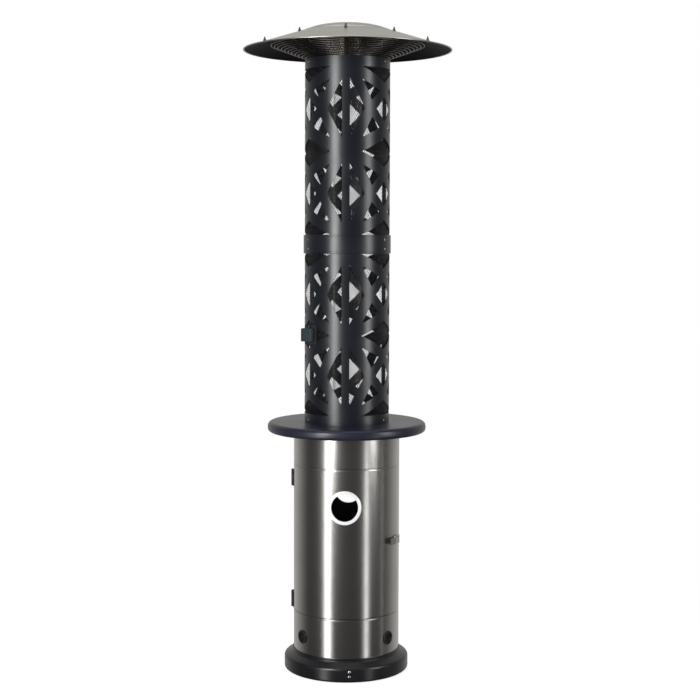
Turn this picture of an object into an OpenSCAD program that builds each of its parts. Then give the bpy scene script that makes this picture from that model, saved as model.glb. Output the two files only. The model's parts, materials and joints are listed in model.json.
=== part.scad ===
// Round gas patio heater with a glass flame tube, a waist-high table and a bottle housing.
// Millimetres, +Z up, origin on the ground under the centre, front of the heater towards -Y.
// Angles round the heater are measured from the front, positive towards +X.

/* [Base] */
// Outside diameter of the round base
base_d = 423; // [420:1:430]
// Height of the upright wall of the base
base_wall_h = 42; // [38:1:46]
// Thickness of the base cover sheet
base_t = 2; // [1.5:0.5:2.5]

/* [Bottle housing] */
// Outside diameter of the brushed steel housing
body_d = 360; // [358:1:362]
// Thickness of the housing sheet
body_t = 1.2; // [1:0.1:1.5]
// Height of the bottom edge of the door
door_z0 = 206; // [196:1:216]
// Height of the top edge of the door
door_z1 = 704; // [694:1:714]
// Angle of the free edge of the door
door_edge_angle = 70; // [66:1:72]
// Height of the round see-through holes
hole_z = 580; // [560:5:600]
// Diameter of the round see-through holes
hole_d = 92; // [80:2:96]

/* [Table] */
// Diameter of the table
table_d = 539; // [520:1:560]
// Height of the underside of the table
table_z0 = 814; // [814:1:816]
// Thickness of the table rim
table_h = 34; // [32:1:34]

/* [Column] */
// Outside diameter of the cut-out sleeves
sleeve_d = 288; // [286:1:290]
// Thickness of the sleeve sheet
sleeve_t = 1.5; // [1:0.5:2]
// Height of the top of the column
column_z1 = 2072; // [2070:1:2074]
// Height of the joint between the two sleeves
joint_z = 1451; // [1449:1:1453]
// Height of the plain band over the joint
band_h = 62; // [58:1:64]
// Outside diameter of the glass flame tube
glass_d = 95; // [90:1:100]

/* [Reflector] */
// Diameter of the reflector
reflector_d = 706; // [700:2:720]
// Height of the rim of the reflector
rim_z = 2104; // [2102:1:2106]
// Height of the top of the reflector
reflector_top_z = 2192; // [2190:1:2196]
// Number of rings in the wire guard
guard_ring_count = 11; // [9:1:11]

/* [Hidden] */
$fn = 96;

base_r = base_d / 2;
body_r = body_d / 2;
table_r = table_d / 2;
table_z1 = table_z0 + table_h;
sleeve_r = sleeve_d / 2;
band_z0 = joint_z - band_h / 2;
band_z1 = joint_z + band_h / 2;
glass_r = glass_d / 2;
reflector_r = reflector_d / 2;

// Base: a shouldered cover over a ballast ring, closed by a pan on four feet.
foot_h = 8;
pan_t = 3;
ledge_z = 62;
collar_z = 75;
collar_gap = 1;
ledge_r = 150;
shoulder_r = 12;
skirt_r = 8;
skirt_z = 3;
slope_angle = 60;
base_bolt_z = [23, 39];
base_bolt_angle = 5;

// Housing and door.
body_z1 = 812;
vent_z = 129;
vent_r = 20;
vent_angles = [-53, 53, 127, -127];
door_gap = 1;
bead_depth = 0.5;
bead_h = 2.4;
hinge_z = [234, 653];
hinge_x = -body_r - 5;
knuckle_r = 4.4;
knuckle_h = 56;
pin_r = 2;
pin_clear = 0.05;
leaf_t = 2;
leaf_span = 6.5;
ring_outer_r = 56.5;

// Draw latch, laid out on a plane that touches the housing at the door's free edge.
latch_z = 455;
lever_pin_u = -14;
lever_pin_n = 7;
bail_pin_u = -22;
bail_pin_n = 6;
wire_r = 1.5;
ear_z = 6;
ear_t = 2;
ear_r = 2.6;
cheek_z = 8.3;
cheek_t = 2;
arm_z = 12.4;
bail_end_u = 14;
bail_end_n = 6.6;
lever_end_u = -60;

// Controls at the rear, under the table.
control_z = 758;
panel_y = body_r + 7;
knob_r = 20;
plunger_r = 8;
spigot_r = 4;
venturi_r = 14;
button_x = -38;
button_r = 9;
knob_travel = 3;
button_travel = 5;

// Deck between the housing and the table.
deck_t = 2;
deck_z1 = body_z1 + deck_t;
table_recess = 22;
bracket_t = 2.5;

// Burner and glass.
burner_z = 852;
seat_z = 886;
glass_t = 3;
glass_z0 = seat_z + 4;
glass_z1 = column_z1 - 16;
mesh_r = sleeve_r - sleeve_t - 1;
mesh_t = 0.6;
box_angle = -30;      // way that the switch box faces
box_side = -61;       // its middle, along its plate
box_back = 141;       // its back, from the axis
box_w = 42;
box_h = 45;
box_depth = 20;
plate_t = 1.2;

// Cut-out pattern of the sleeves: three lenses round the column, with knots between them.
repeat_angle = 120;
lower_lens_z = [1013, 1284];
upper_lens_z = [1620, 1900];
lower_knot_z = 1148;
upper_knot_z = 1758;
bar_half = 13;
lens_half_w = 64.6;
slot_half_h = 98;
knot_half_w = 98;
knot_half_h = 48;
small_half = 40;

// Reflector and its wire guard.
sheet_t = 1;
cap_r = 150;
cap_z = 2168;
rim_bead_r = 2;
rim_slope = (cap_z - rim_z) / (reflector_r - rim_bead_r - cap_r);
sheet_rise = 1.1 * sheet_t;
drum_r = 69.5;
drum_z1 = 2184;
guard_r0 = 143;
guard_z0 = 2077;
guard_r1 = 259;
guard_z1 = 2119;
guard_wire = 1.6;
guard_angle = atan2(guard_z1 - guard_z0, guard_r1 - guard_r0);
inner_bolt_r = 175;
outer_bolt_r = 308;
stay_angles = [0, 60, 120, 180, 240, 300];
guard_stay_angles = [60, 180, 300];

// Points of an arc in a profile plane, from angle a0 to angle a1.
function arc(x, z, r, a0, a1, n = 8) =
    [for (i = [0:n]) let (a = a0 + (a1 - a0) * i / n) [x + r * cos(a), z + r * sin(a)]];

// Height of the underside of the reflector's cone at radius r.
function underside(r) = rim_z + (reflector_r - rim_bead_r - r) * rim_slope - sheet_rise;

// Place children at an angle round the heater, seen from the front.
module at_angle(a) rotate([0, 0, a]) children();

// Place children on a radius, with +Z of the child pointing outwards.
module outward(a, r, z) at_angle(a) translate([0, -r, z]) rotate([90, 0, 0]) children();

module tube(r, t, z0, z1) {
    difference() {
        translate([0, 0, z0]) cylinder(r = r, h = z1 - z0);
        translate([0, 0, z0 - 1]) cylinder(r = r - t, h = z1 - z0 + 2);
    }
}

// Part of a ring between two angles round the heater.
module sector(r0, r1, z0, z1, a0, a1) {
    at_angle(a0 - 90) rotate_extrude(angle = a1 - a0) translate([r0, z0]) square([r1 - r0, z1 - z0]);
}

// Screw with a domed head, its head's underside on the plane z = 0.
module dome_screw(head_r, head_h, shank_r, shank_l) {
    rotate_extrude($fn = 48) polygon(concat(
        [[0, -shank_l], [shank_r, -shank_l], [shank_r, 0], [head_r, 0]],
        [for (a = [10:10:80]) [head_r * cos(a), head_h * sin(a)]],
        [[0, head_h]]));
}

module hex_head(across, h) cylinder(r = across / sqrt(3), h = h, $fn = 6);

module base_cover() {
    inner_shoulder = shoulder_r - base_t;
    color("#1c1d21") rotate_extrude() polygon(concat(
        arc(base_r - skirt_r, skirt_z + skirt_r, skirt_r, -80, 0),
        arc(base_r - shoulder_r, base_wall_h, shoulder_r, 0, slope_angle),
        [[body_r + 4, ledge_z + 3], [body_r + 2.6, collar_z], [body_r + collar_gap, collar_z]],
        [[body_r + collar_gap, ledge_z], [ledge_r, ledge_z], [ledge_r, ledge_z - base_t]],
        [[body_r + 8, ledge_z - base_t]],
        arc(base_r - shoulder_r, base_wall_h, inner_shoulder, slope_angle, 0),
        arc(base_r - skirt_r, skirt_z + skirt_r, skirt_r - base_t, 0, -80)));
}

module base_pan() {
    color("#26272b") translate([0, 0, foot_h]) cylinder(r = base_r - skirt_r - 1, h = pan_t);
}

module base_weight() {
    color("#6d6a66") difference() {
        translate([0, 0, foot_h + pan_t]) cylinder(r = base_r - 16, h = 32);
        translate([0, 0, foot_h + pan_t - 1]) cylinder(r = 60, h = 34);
    }
}

module base_feet() {
    color("#17181a") for (a = [45:90:315]) at_angle(a) translate([0, -165, 0]) rotate_extrude($fn = 48)
        polygon([[0, 0], [17, 0], [20, 3], [20, foot_h], [0, foot_h]]);
}

module base_bolts() {
    color("silver") for (side = [0, 180], z = base_bolt_z)
        outward(side + base_bolt_angle, base_r, z) dome_screw(5.6, 3.2, 3, 12);
}

module body_shell() {
    color("#b9b6b0") difference() {
        tube(body_r, body_t, ledge_z, body_z1);
        sector(body_r - 20, body_r + 20, door_z0, door_z1, -90, door_edge_angle);
        for (a = vent_angles) outward(a, body_r - 10, vent_z) cylinder(r = vent_r, h = 20);
        outward(180, body_r - 10, hole_z) cylinder(r = hole_d / 2, h = 20);
        translate([-56, body_r - 20, control_z - 34]) cube([112, 40, 68]);
        for (z = [door_z0, door_z1]) difference() {
            translate([0, 0, z - bead_h / 2]) cylinder(r = body_r + 1, h = bead_h);
            translate([0, 0, z - bead_h]) cylinder(r = body_r - bead_depth, h = 2 * bead_h);
        }
    }
}

module floor_plate() {
    color("#8d8d8c") difference() {
        translate([0, 0, ledge_z]) cylinder(r = body_r - body_t, h = 3);
        for (a = vent_angles) at_angle(a) translate([0, -110, ledge_z - 1]) cylinder(r = 12, h = 5);
    }
}

module vent_grommets() {
    color("#141416") for (a = vent_angles) outward(a, body_r - 6, vent_z) rotate_extrude($fn = 64)
        polygon([[16, 0], [vent_r, 0], [vent_r, 3.5], [vent_r, 6.5], [vent_r + 3, 6.5], [vent_r + 3, 8],
                 [vent_r + 2, 9], [16, 9], [16, 4], [2, 4], [2, 2], [16, 2]]);
}

module hole_ring(a) {
    color("#e4e4e2") intersection() {
        outward(a, 0, hole_z) difference() {
            cylinder(r = ring_outer_r, h = body_r + 20);
            translate([0, 0, -1]) cylinder(r = hole_d / 2, h = body_r + 22);
        }
        tube(body_r + 2, 2, hole_z - 70, hole_z + 70);
    }
}

module rear_hole_ring() hole_ring(180);

// Surround behind the edges of the door opening, touching the housing above and below the door.
module door_frame() {
    wall_r = body_r - body_t;
    inner_r = wall_r - 2.4;
    outer_r = wall_r - 0.8;
    a0 = -96;
    a1 = door_edge_angle + 4;
    color("#77756f") difference() {
        at_angle(a0 - 90) rotate_extrude(angle = a1 - a0) polygon([
            [inner_r, door_z0 - 12], [wall_r, door_z0 - 12], [wall_r, door_z0 - 4], [outer_r, door_z0 - 4],
            [outer_r, door_z1 + 4], [wall_r, door_z1 + 4], [wall_r, door_z1 + 12], [inner_r, door_z1 + 12]]);
        sector(inner_r - 1, wall_r + 1, door_z0 + 10, door_z1 - 10, -91, door_edge_angle - 3);
    }
}

module knuckle(z0, h, bore_r) {
    translate([hinge_x, 0, z0]) difference() {
        cylinder(r = knuckle_r, h = h);
        translate([0, 0, -1]) cylinder(r = bore_r, h = h + 2);
    }
}

// Curved hinge leaf with a lug that joins it to the barrel; side is +1 for the fixed leaf.
module hinge_leaf(z, lug_z0, lug_h, side) {
    a0 = side > 0 ? -90 - leaf_span : -90 + 1.7;
    a1 = side > 0 ? -90 - 1.7 : -90 + leaf_span;
    sector(body_r, body_r + leaf_t, z - knuckle_h / 2, z + knuckle_h / 2, a0, a1);
    difference() {
        translate([hinge_x, side > 0 ? 0 : -7, lug_z0]) cube([4.4, 7, lug_h]);
        translate([hinge_x, 0, lug_z0 - 1]) cylinder(r = knuckle_r - 0.5, h = lug_h + 2);
        translate([0, 0, lug_z0 - 1]) cylinder(r = body_r, h = lug_h + 2);
    }
}

module fixed_hinge_leaves() {
    end_h = 17;
    color("#3a3a3c") for (z = hinge_z) {
        for (z0 = [z - knuckle_h / 2, z + knuckle_h / 2 - end_h]) knuckle(z0, end_h, pin_r);
        hinge_leaf(z, z - knuckle_h / 2, end_h, 1);
        hinge_leaf(z, z + knuckle_h / 2 - end_h, end_h, 1);
    }
}

module door_hinge_leaves() {
    mid_h = knuckle_h - 2 * 17 - 0.8;
    color("#3a3a3c") for (z = hinge_z) {
        knuckle(z - mid_h / 2, mid_h, pin_r + pin_clear);
        hinge_leaf(z, z - mid_h / 2, mid_h, -1);
    }
}

module hinge_pins() {
    color("#2c2c2e") for (z = hinge_z) translate([hinge_x, 0, z - knuckle_h / 2]) {
        cylinder(r = pin_r, h = knuckle_h);
        translate([0, 0, knuckle_h]) cylinder(r = pin_r + 1, h = 1.5);
    }
}

module door_panel() {
    color("#c4c1bb") difference() {
        sector(body_r - body_t, body_r, door_z0 + door_gap, door_z1 - door_gap,
               -90 + 0.35, door_edge_angle - 0.35);
        outward(0, body_r - 10, hole_z) cylinder(r = hole_d / 2, h = 20);
    }
}

module door_hole_ring() hole_ring(0);

module door_ribs() {
    color("#8d8b86") for (z = [290, 470]) difference() {
        sector(body_r - 14, body_r - body_t, z, z + 16, -78, door_edge_angle - 12);
        sector(body_r - 13, body_r - body_t + 1, z + 1.2, z + 14.8, -79, door_edge_angle - 11);
    }
}

// Latch frame: x runs round the housing away from the door, y points into the housing.
module latch_frame() at_angle(door_edge_angle) translate([0, -body_r, latch_z]) children();

module latch_plate(a0, a1, half_z) {
    edge = door_edge_angle;
    sector(body_r, body_r + 1.6, latch_z - half_z, latch_z + half_z, edge + a0, edge + a1);
}

// Outline on the latch plane, given by [distance along the latch, height off the housing].
module latch_outline(points, half_z) {
    linear_extrude(2 * half_z, center = true) polygon([for (p = points) [p[0], -p[1]]]);
}

module latch_base() {
    color("#a8a8a6") {
        latch_plate(-12.7, -1.3, 13);
        latch_frame() {
            latch_outline([[-22, -0.5], [-6, 0.2], [-6, 2.2], [-22, 2.2]], ear_z + ear_t);
            for (side = [-1, 1]) translate([lever_pin_u, 0, side * (ear_z + ear_t / 2)]) {
                latch_outline([
                    [-ear_r, 1], [ear_r, 1], [ear_r, lever_pin_n], [-ear_r, lever_pin_n]], ear_t / 2);
                translate([0, -lever_pin_n, 0]) cylinder(r = ear_r, h = ear_t, center = true);
            }
            translate([lever_pin_u, -lever_pin_n, 0]) {
                cylinder(r = wire_r, h = 2 * (cheek_z + cheek_t), center = true);
            }
        }
    }
}

module latch_lever() {
    color("#b4b4b2") latch_frame() difference() {
        union() {
            for (side = [-1, 1]) translate([0, 0, side * (cheek_z + cheek_t / 2)]) latch_outline([
                [-10.6, 4.4], [-10.6, 11.6], [-28, 11.6], [-52, 5.6], [-52, 4.4],
                [-36, 3.4], [-14, 3.4]], cheek_t / 2);
            latch_outline([
                [-10.6, 10], [-10.6, 11.6], [-28, 11.6], [-56, 4.6], [lever_end_u, 6.4],
                [lever_end_u - 0.8, 5], [-56.2, 2.9], [-28.3, 10]], cheek_z + cheek_t);
        }
        for (p = [[lever_pin_u, lever_pin_n], [bail_pin_u, bail_pin_n]]) {
            translate([p[0], -p[1], 0]) cylinder(r = wire_r + pin_clear, h = 40, center = true);
        }
    }
}

module latch_bail() {
    arm_l = norm([bail_end_u - bail_pin_u, bail_end_n - bail_pin_n]);
    color("#c8c8c6") latch_frame() {
        for (side = [-1, 1]) {
            translate([bail_pin_u, -bail_pin_n, side > 0 ? cheek_z + 0.2 : -arm_z - wire_r]) {
                cylinder(r = wire_r, h = arm_z + wire_r - cheek_z - 0.2);
            }
            translate([bail_pin_u, -bail_pin_n, side * arm_z]) {
                rotate([0, 90, -atan2(bail_end_n - bail_pin_n, arm_l)]) cylinder(r = wire_r, h = arm_l);
            }
        }
        translate([bail_end_u, -bail_end_n, 0]) cylinder(r = wire_r, h = 2 * (arm_z + wire_r), center = true);
    }
}

module latch_keeper() {
    color("#a8a8a6") {
        latch_plate(1.9, 7.6, 12);
        latch_frame() latch_outline([[7.4, 0.4], [8.4, 4.4], [10.4, 4.4], [11.4, 0.4]], 10);
    }
}

module table_top() {
    color("#2b2d33") rotate_extrude($fn = 144) polygon(concat(
        [[146, table_z0 + table_recess], [table_r - 40, table_z0 + table_recess]],
        [[table_r - 36, table_z0], [table_r - 9, table_z0]],
        arc(table_r - 9, table_z0 + 9, 9, -90, 0),
        arc(table_r - 11, table_z1 - 11, 11, 0, 90),
        [[118, table_z1], [118, table_z0 + 28], [146, table_z0 + 28]]));
}

// Stepped brackets between the deck of the housing and the underside of the table.
module table_brackets() {
    leg_r = body_r - 6;
    top_z = table_z0 + table_recess;
    color("#4a4b4e") for (a = [45:90:315]) at_angle(a) strip([
        [leg_r - 26, deck_z1], [leg_r + bracket_t, deck_z1], [leg_r + bracket_t, top_z - bracket_t],
        [leg_r + 36, top_z - bracket_t], [leg_r + 36, top_z], [leg_r, top_z],
        [leg_r, deck_z1 + bracket_t], [leg_r - 26, deck_z1 + bracket_t]], 18);
}

module table_screws() {
    color("silver") for (a = [45:90:315]) at_angle(a) {
        for (r = [body_r + 8, body_r + 22]) translate([0, -r, table_z0 + table_recess - bracket_t]) {
            rotate([180, 0, 0]) dome_screw(4, 2.4, 1.8, 9);
        }
        translate([0, -body_r + 20, deck_z1 + bracket_t]) dome_screw(4, 2.4, 1.8, 6);
    }
}

module deck_plate() {
    color("#7c7c7b") difference() {
        union() {
            translate([0, 0, body_z1]) cylinder(r = body_r, h = deck_t);
            translate([0, 0, body_z1]) cylinder(r = 117.5, h = burner_z - body_z1);
        }
        translate([0, 0, body_z1 - 1]) cylinder(r = 116, h = burner_z - body_z1 - 1);
        translate([0, 0, body_z1]) cylinder(r = venturi_r, h = 60);
        for (a = [0:30:330]) at_angle(a) translate([0, -90, burner_z - 5]) cylinder(r = 9, h = 10);
    }
}

module rounded_plate(w, h, r, t) linear_extrude(t) polygon(concat(
    arc(w / 2 - r, h / 2 - r, r, 0, 90), arc(r - w / 2, h / 2 - r, r, 90, 180),
    arc(r - w / 2, r - h / 2, r, 180, 270), arc(w / 2 - r, r - h / 2, r, 270, 360)));

module control_panel() {
    color("#202226") difference() {
        translate([0, panel_y, control_z]) rotate([90, 0, 0]) rounded_plate(108, 64, 8, 14);
        translate([0, panel_y + 1, control_z]) rotate([90, 0, 0]) cylinder(r = plunger_r + 1.5, h = 20);
        translate([button_x, panel_y + 1, control_z]) rotate([90, 0, 0]) cylinder(r = button_r + 2, h = 20);
    }
}

module gas_valve() {
    color("#b08d4a") difference() {
        union() {
            translate([-16, 112, control_z - 20]) cube([32, 48, 40]);
            translate([0, 160, control_z]) rotate([-90, 0, 0]) cylinder(r = 13, h = 13);
        }
        translate([0, 130, control_z]) rotate([-90, 0, 0]) cylinder(r = plunger_r + pin_clear, h = 60);
    }
}

module gas_inlet() {
    color("#b89650") translate([0, 136, control_z - 20]) rotate([180, 0, 0]) {
        hex_head(17, 10);
        translate([0, 0, 10]) cylinder(r = 4.5, h = 22);
    }
}

module gas_pipe() {
    pipe_z = control_z - 6;
    color("#b87a4c") {
        translate([0, 112, pipe_z]) rotate([90, 0, 0]) cylinder(r = 4, h = 112 - venturi_r);
        translate([0, 112, pipe_z]) rotate([90, 0, 0]) hex_head(14, 10);
        translate([0, 24, pipe_z]) rotate([90, 0, 0]) hex_head(14, 10);
    }
}

module igniter_housing() {
    color("#e6e2d8") difference() {
        translate([button_x, 128, control_z]) rotate([-90, 0, 0]) {
            cylinder(r = button_r + 2, h = panel_y - 128);
        }
        translate([button_x, 148, control_z]) rotate([-90, 0, 0]) {
            cylinder(r = button_r + pin_clear, h = 60);
        }
    }
}

module valve_plunger() {
    color("#9a9a98") translate([0, 0, control_z]) rotate([-90, 0, 0]) {
        translate([0, 0, 134 + knob_travel]) cylinder(r = plunger_r, h = panel_y - 134 - knob_travel + 2);
        translate([0, 0, panel_y]) cylinder(r = spigot_r, h = 18);
    }
}

module control_knob() {
    knob_y = panel_y + knob_travel + 1.5;
    color("#1b1c1f") translate([0, knob_y, control_z]) rotate([-90, 0, 0]) difference() {
        union() {
            cylinder(r = knob_r, h = 10);
            translate([0, 0, 10]) cylinder(r = knob_r - 3, h = 11);
            translate([-3.5, -knob_r + 2, 10]) cube([7, 2 * knob_r - 4, 13]);
        }
        for (a = [0:15:345]) rotate([0, 0, a]) translate([knob_r + 0.8, 0, -1]) cylinder(r = 1.6, h = 12);
        translate([0, 0, -1]) cylinder(r = spigot_r + pin_clear, h = 16);
    }
}

module igniter_button() {
    color("#c23a2e") translate([button_x, 154, control_z]) rotate([-90, 0, 0]) {
        cylinder(r = button_r, h = panel_y - 154);
        translate([0, 0, panel_y - 154]) rotate_extrude($fn = 64) polygon(concat(
            [[0, 0], [button_r, 0]], arc(button_r - 2.5, button_travel + 1, 2.5, 0, 90),
            [[0, button_travel + 3.5]]));
    }
}

module burner_venturi() {
    color("#8a6a3c") difference() {
        translate([0, 0, control_z - 22]) cylinder(r = venturi_r, h = burner_z + 10 - control_z + 22);
        translate([0, 0, control_z]) cylinder(r = 11, h = burner_z);
        for (a = [45:90:315]) outward(a, 0, control_z + 30) cylinder(r = 6, h = 20);
    }
}

module burner_cup() {
    cup_r = 62;
    color("#8f8e8a") difference() {
        union() {
            tube(cup_r, 1.5, burner_z, seat_z);
            translate([0, 0, burner_z]) cylinder(r = cup_r + 12, h = 1.5);
        }
        translate([0, 0, burner_z - 1]) cylinder(r = 16, h = 4);
        for (a = [0:30:330]) outward(a, cup_r - 10, burner_z + 18) cylinder(r = 7, h = 20);
    }
}

module burner_head() {
    head_r = 34;
    color("#7a746a") difference() {
        union() {
            translate([0, 0, burner_z + 10]) cylinder(r1 = 16, r2 = head_r, h = 10);
            translate([0, 0, burner_z + 20]) cylinder(r = head_r, h = 14);
        }
        translate([0, 0, burner_z + 9]) cylinder(r = 11, h = 11);
        translate([0, 0, burner_z + 20]) cylinder(r = head_r - 3, h = 11);
        for (a = [0:15:345]) outward(a, head_r - 8, burner_z + 28) cylinder(r = 1.4, h = 12);
        for (r = [12, 22], a = [0:30:330]) at_angle(a) translate([0, -r, burner_z + 30]) {
            cylinder(r = 1.5, h = 6);
        }
    }
}

module rod(x, y, z0, z1, r) translate([x, y, z0]) cylinder(r = r, h = z1 - z0, $fn = 32);

module pilot_tube() {
    color("#b87a4c") {
        rod(40, 12, burner_z + 1.5, burner_z + 26, 2);
        rod(40, 12, burner_z + 26, burner_z + 34, 4);
    }
}

module thermocouple() {
    color("#c9c4ba") {
        rod(40, -2, burner_z + 1.5, burner_z + 22, 2);
        rod(40, -2, burner_z + 22, burner_z + 33, 3);
    }
}

module spark_electrode() {
    color("#efebe2") {
        rod(40, 25, burner_z + 1.5, burner_z + 20, 3.2);
        rod(40, 25, burner_z + 20, burner_z + 33, 1.1);
    }
}

module glass_seat() {
    color("#9a9a96") rotate_extrude() polygon([
        [glass_r - 7, seat_z], [62, seat_z], [62, seat_z + 3], [glass_r + 4, seat_z + 5],
        [glass_r + 4, seat_z + 14], [glass_r + 0.4, seat_z + 14], [glass_r + 0.4, glass_z0],
        [glass_r - 7, glass_z0]]);
}

module glass_tube() {
    color([0.9, 0.95, 1, 0.35]) tube(glass_r, glass_t, glass_z0, glass_z1);
}

module glass_top_ring() {
    color("#9a9a96") rotate_extrude() polygon([
        [glass_r + 0.5, glass_z1 - 20], [glass_r + 3, glass_z1 - 20], [glass_r + 3, column_z1 - 4],
        [glass_r + 16, column_z1 - 4], [glass_r + 16, column_z1 - 2], [glass_r + 0.5, column_z1 - 2]]);
}

module lower_mesh() {
    color("#0e0e10") tube(mesh_r, mesh_t, table_z1, joint_z - 1);
}

module upper_mesh() {
    color("#0e0e10") tube(mesh_r, mesh_t, joint_z + 1, column_z1 - 2);
}

// A hole in the sleeve: an outline cut straight through the wall at its own middle angle.
// The outline is given by [distance round the sleeve, height].
module sleeve_cut(points, z) {
    mid = (min([for (p = points) p[0]]) + max([for (p = points) p[0]])) / 2;
    mid_angle = mid / sleeve_r * 180 / PI;
    outward(mid_angle, 0, z) linear_extrude(sleeve_r + 5) polygon([
        for (p = points) [sleeve_r * sin((p[0] - mid) / sleeve_r * 180 / PI), p[1]]]);
}

function mirrored(points, sx, sy) = [for (p = points) [p[0] * sx, p[1] * sy]];

module lens_cuts(z) {
    slot = [[bar_half, -slot_half_h], [lens_half_w, 0], [bar_half, slot_half_h]];
    wedge = [[54.8, 96], [125.3, 61], [91.4, 27.5]];
    quarter = sleeve_r * PI / 3;
    for (sx = [-1, 1]) {
        sleeve_cut(mirrored(slot, sx, 1), z);
        for (sy = [-1, 1]) sleeve_cut(mirrored(wedge, sx, sy), z);
    }
    sleeve_cut([[quarter - small_half, 0], [quarter, small_half], [quarter + small_half, 0],
                [quarter, -small_half]], z);
}

module knot_cut(z) {
    quarter = sleeve_r * PI / 3;
    sleeve_cut([[quarter - knot_half_w, 0], [quarter, knot_half_h], [quarter + knot_half_w, 0],
                [quarter, -knot_half_h]], z);
}

// Half a knot against a plain border; up is +1 when the point of the cut is above its flat side.
module half_knot_cut(z, up) {
    quarter = sleeve_r * PI / 3;
    sleeve_cut([[quarter - knot_half_w, 0], [quarter + knot_half_w, 0], [quarter, up * knot_half_h]], z);
}

module sleeve(z0, z1, lens_z, knot_z, low_cut_z, high_cut_z) {
    color("#3d444d") difference() {
        tube(sleeve_r, sleeve_t, z0, z1);
        for (a = [0:repeat_angle:240]) at_angle(a) {
            for (z = lens_z) lens_cuts(z);
            knot_cut(knot_z);
            half_knot_cut(low_cut_z, 1);
            half_knot_cut(high_cut_z, -1);
        }
    }
}

module lower_sleeve() {
    sleeve(table_z1, joint_z - 0.5, lower_lens_z, lower_knot_z, table_z1 + 32, band_z0 - 1);
}

module upper_sleeve() {
    sleeve(joint_z + 0.5, column_z1, upper_lens_z, upper_knot_z, band_z1 + 1, column_z1 - 35);
}

module joint_band() {
    color("#3d444d") tube(sleeve_r + 4, 4, band_z0, band_z1);
}

module band_screws() {
    color("#5a6068") for (a = guard_stay_angles, dz = [-15.5, 15.5]) {
        outward(a, sleeve_r + 4, joint_z + dz) dome_screw(3.4, 2, 1.6, 5);
    }
}

module top_plate() {
    color("#3d444d") difference() {
        translate([0, 0, column_z1 - 2]) cylinder(r = sleeve_r - sleeve_t, h = 2);
        translate([0, 0, column_z1 - 3]) cylinder(r = glass_r + 0.5, h = 4);
    }
}

module sleeve_screws() {
    color("#8a8f96") for (a = [-62, 62, 180]) {
        outward(a, sleeve_r, column_z1 - 12) dome_screw(3.2, 1.8, 1.5, 1.4);
        outward(a, sleeve_r, table_z1 + 12) dome_screw(3.2, 1.8, 1.5, 1.4);
    }
}

module tilt_switch_box() {
    color("#2c3a40") outward(box_angle, box_back, lower_knot_z)
        translate([box_side, 0, 0]) rounded_plate(box_w, box_h, 4, box_depth);
}

// Plate that carries the switch box beside the column, with a curved flange on the sleeve.
module tilt_switch_bracket() {
    color("#4a4f55") difference() {
        union() {
            sector(sleeve_r, sleeve_r + plate_t, lower_knot_z - 33, lower_knot_z + 33, -51, -41.5);
            outward(box_angle, box_back - plate_t, lower_knot_z)
                translate([-56, 0, 0]) rounded_plate(46, 66, 4, plate_t);
        }
        translate([0, 0, lower_knot_z - 40]) cylinder(r = sleeve_r, h = 80);
        for (z = [-29, 29]) outward(-46.5, sleeve_r - 10, lower_knot_z + z) cylinder(r = 1.6, h = 20);
    }
}

module flame_drum() {
    color("#c9c6c0") difference() {
        tube(drum_r, 1, column_z1, drum_z1);
        for (k = [0:5], a = [0:15:345]) {
            outward(a + (k % 2) * 7.5, drum_r - 5, column_z1 + 14 + k * 15) cylinder(r = 4, h = 10, $fn = 16);
        }
    }
}

module guard_rings() {
    color("#8f9092") for (i = [0:guard_ring_count - 1]) {
        t = i / (guard_ring_count - 1);
        rotate_extrude($fn = 72) translate([
            guard_r0 + (guard_r1 - guard_r0) * t, guard_z0 + (guard_z1 - guard_z0) * t]) {
            circle(r = guard_wire, $fn = 16);
        }
    }
}

module guard_spokes() {
    length = norm([guard_r1 - guard_r0, guard_z1 - guard_z0]) + 6;
    color("#b4b4b4") for (a = [15:30:345]) at_angle(a) {
        translate([0, -guard_r0 + 3, guard_z0 - 1]) rotate([90 - guard_angle, 0, 0]) {
            translate([0, 2 * guard_wire, 0]) cylinder(r = guard_wire, h = length, $fn = 24);
        }
    }
}

module strip(points, width) rotate([90, 0, -90]) linear_extrude(width, center = true) polygon(points);

module guard_stays() {
    lift = guard_wire / cos(guard_angle);
    color("#b4b4b4") for (a = guard_stay_angles) at_angle(a) strip([
        [guard_r0 - 5, guard_z0 + lift - 1.8], [guard_r1 + 2, guard_z1 + lift + 0.8],
        [outer_bolt_r - 10, underside(outer_bolt_r - 10) - 1.6],
        [outer_bolt_r + 10, underside(outer_bolt_r + 10) - 1.6],
        [outer_bolt_r + 10, underside(outer_bolt_r + 10)], [outer_bolt_r - 10, underside(outer_bolt_r - 10)],
        [guard_r1 + 2, guard_z1 + lift + 2.4], [guard_r0 - 5, guard_z0 + lift]], 12);
}

module reflector_stays() {
    foot = sleeve_r - 22;
    bend_z = column_z1 + 46;
    color("#9c9c9a") for (a = stay_angles) at_angle(a) strip([
        [foot - 16, column_z1], [foot + 8, column_z1], [foot + 8, bend_z],
        [inner_bolt_r + 2, underside(inner_bolt_r + 2) - 2.5],
        [inner_bolt_r + 16, underside(inner_bolt_r + 16) - 2],
        [inner_bolt_r + 16, underside(inner_bolt_r + 16)], [inner_bolt_r, underside(inner_bolt_r)],
        [foot + 6, bend_z + 1], [foot + 6, column_z1 + 2], [foot - 16, column_z1 + 2]], 14);
}

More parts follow.
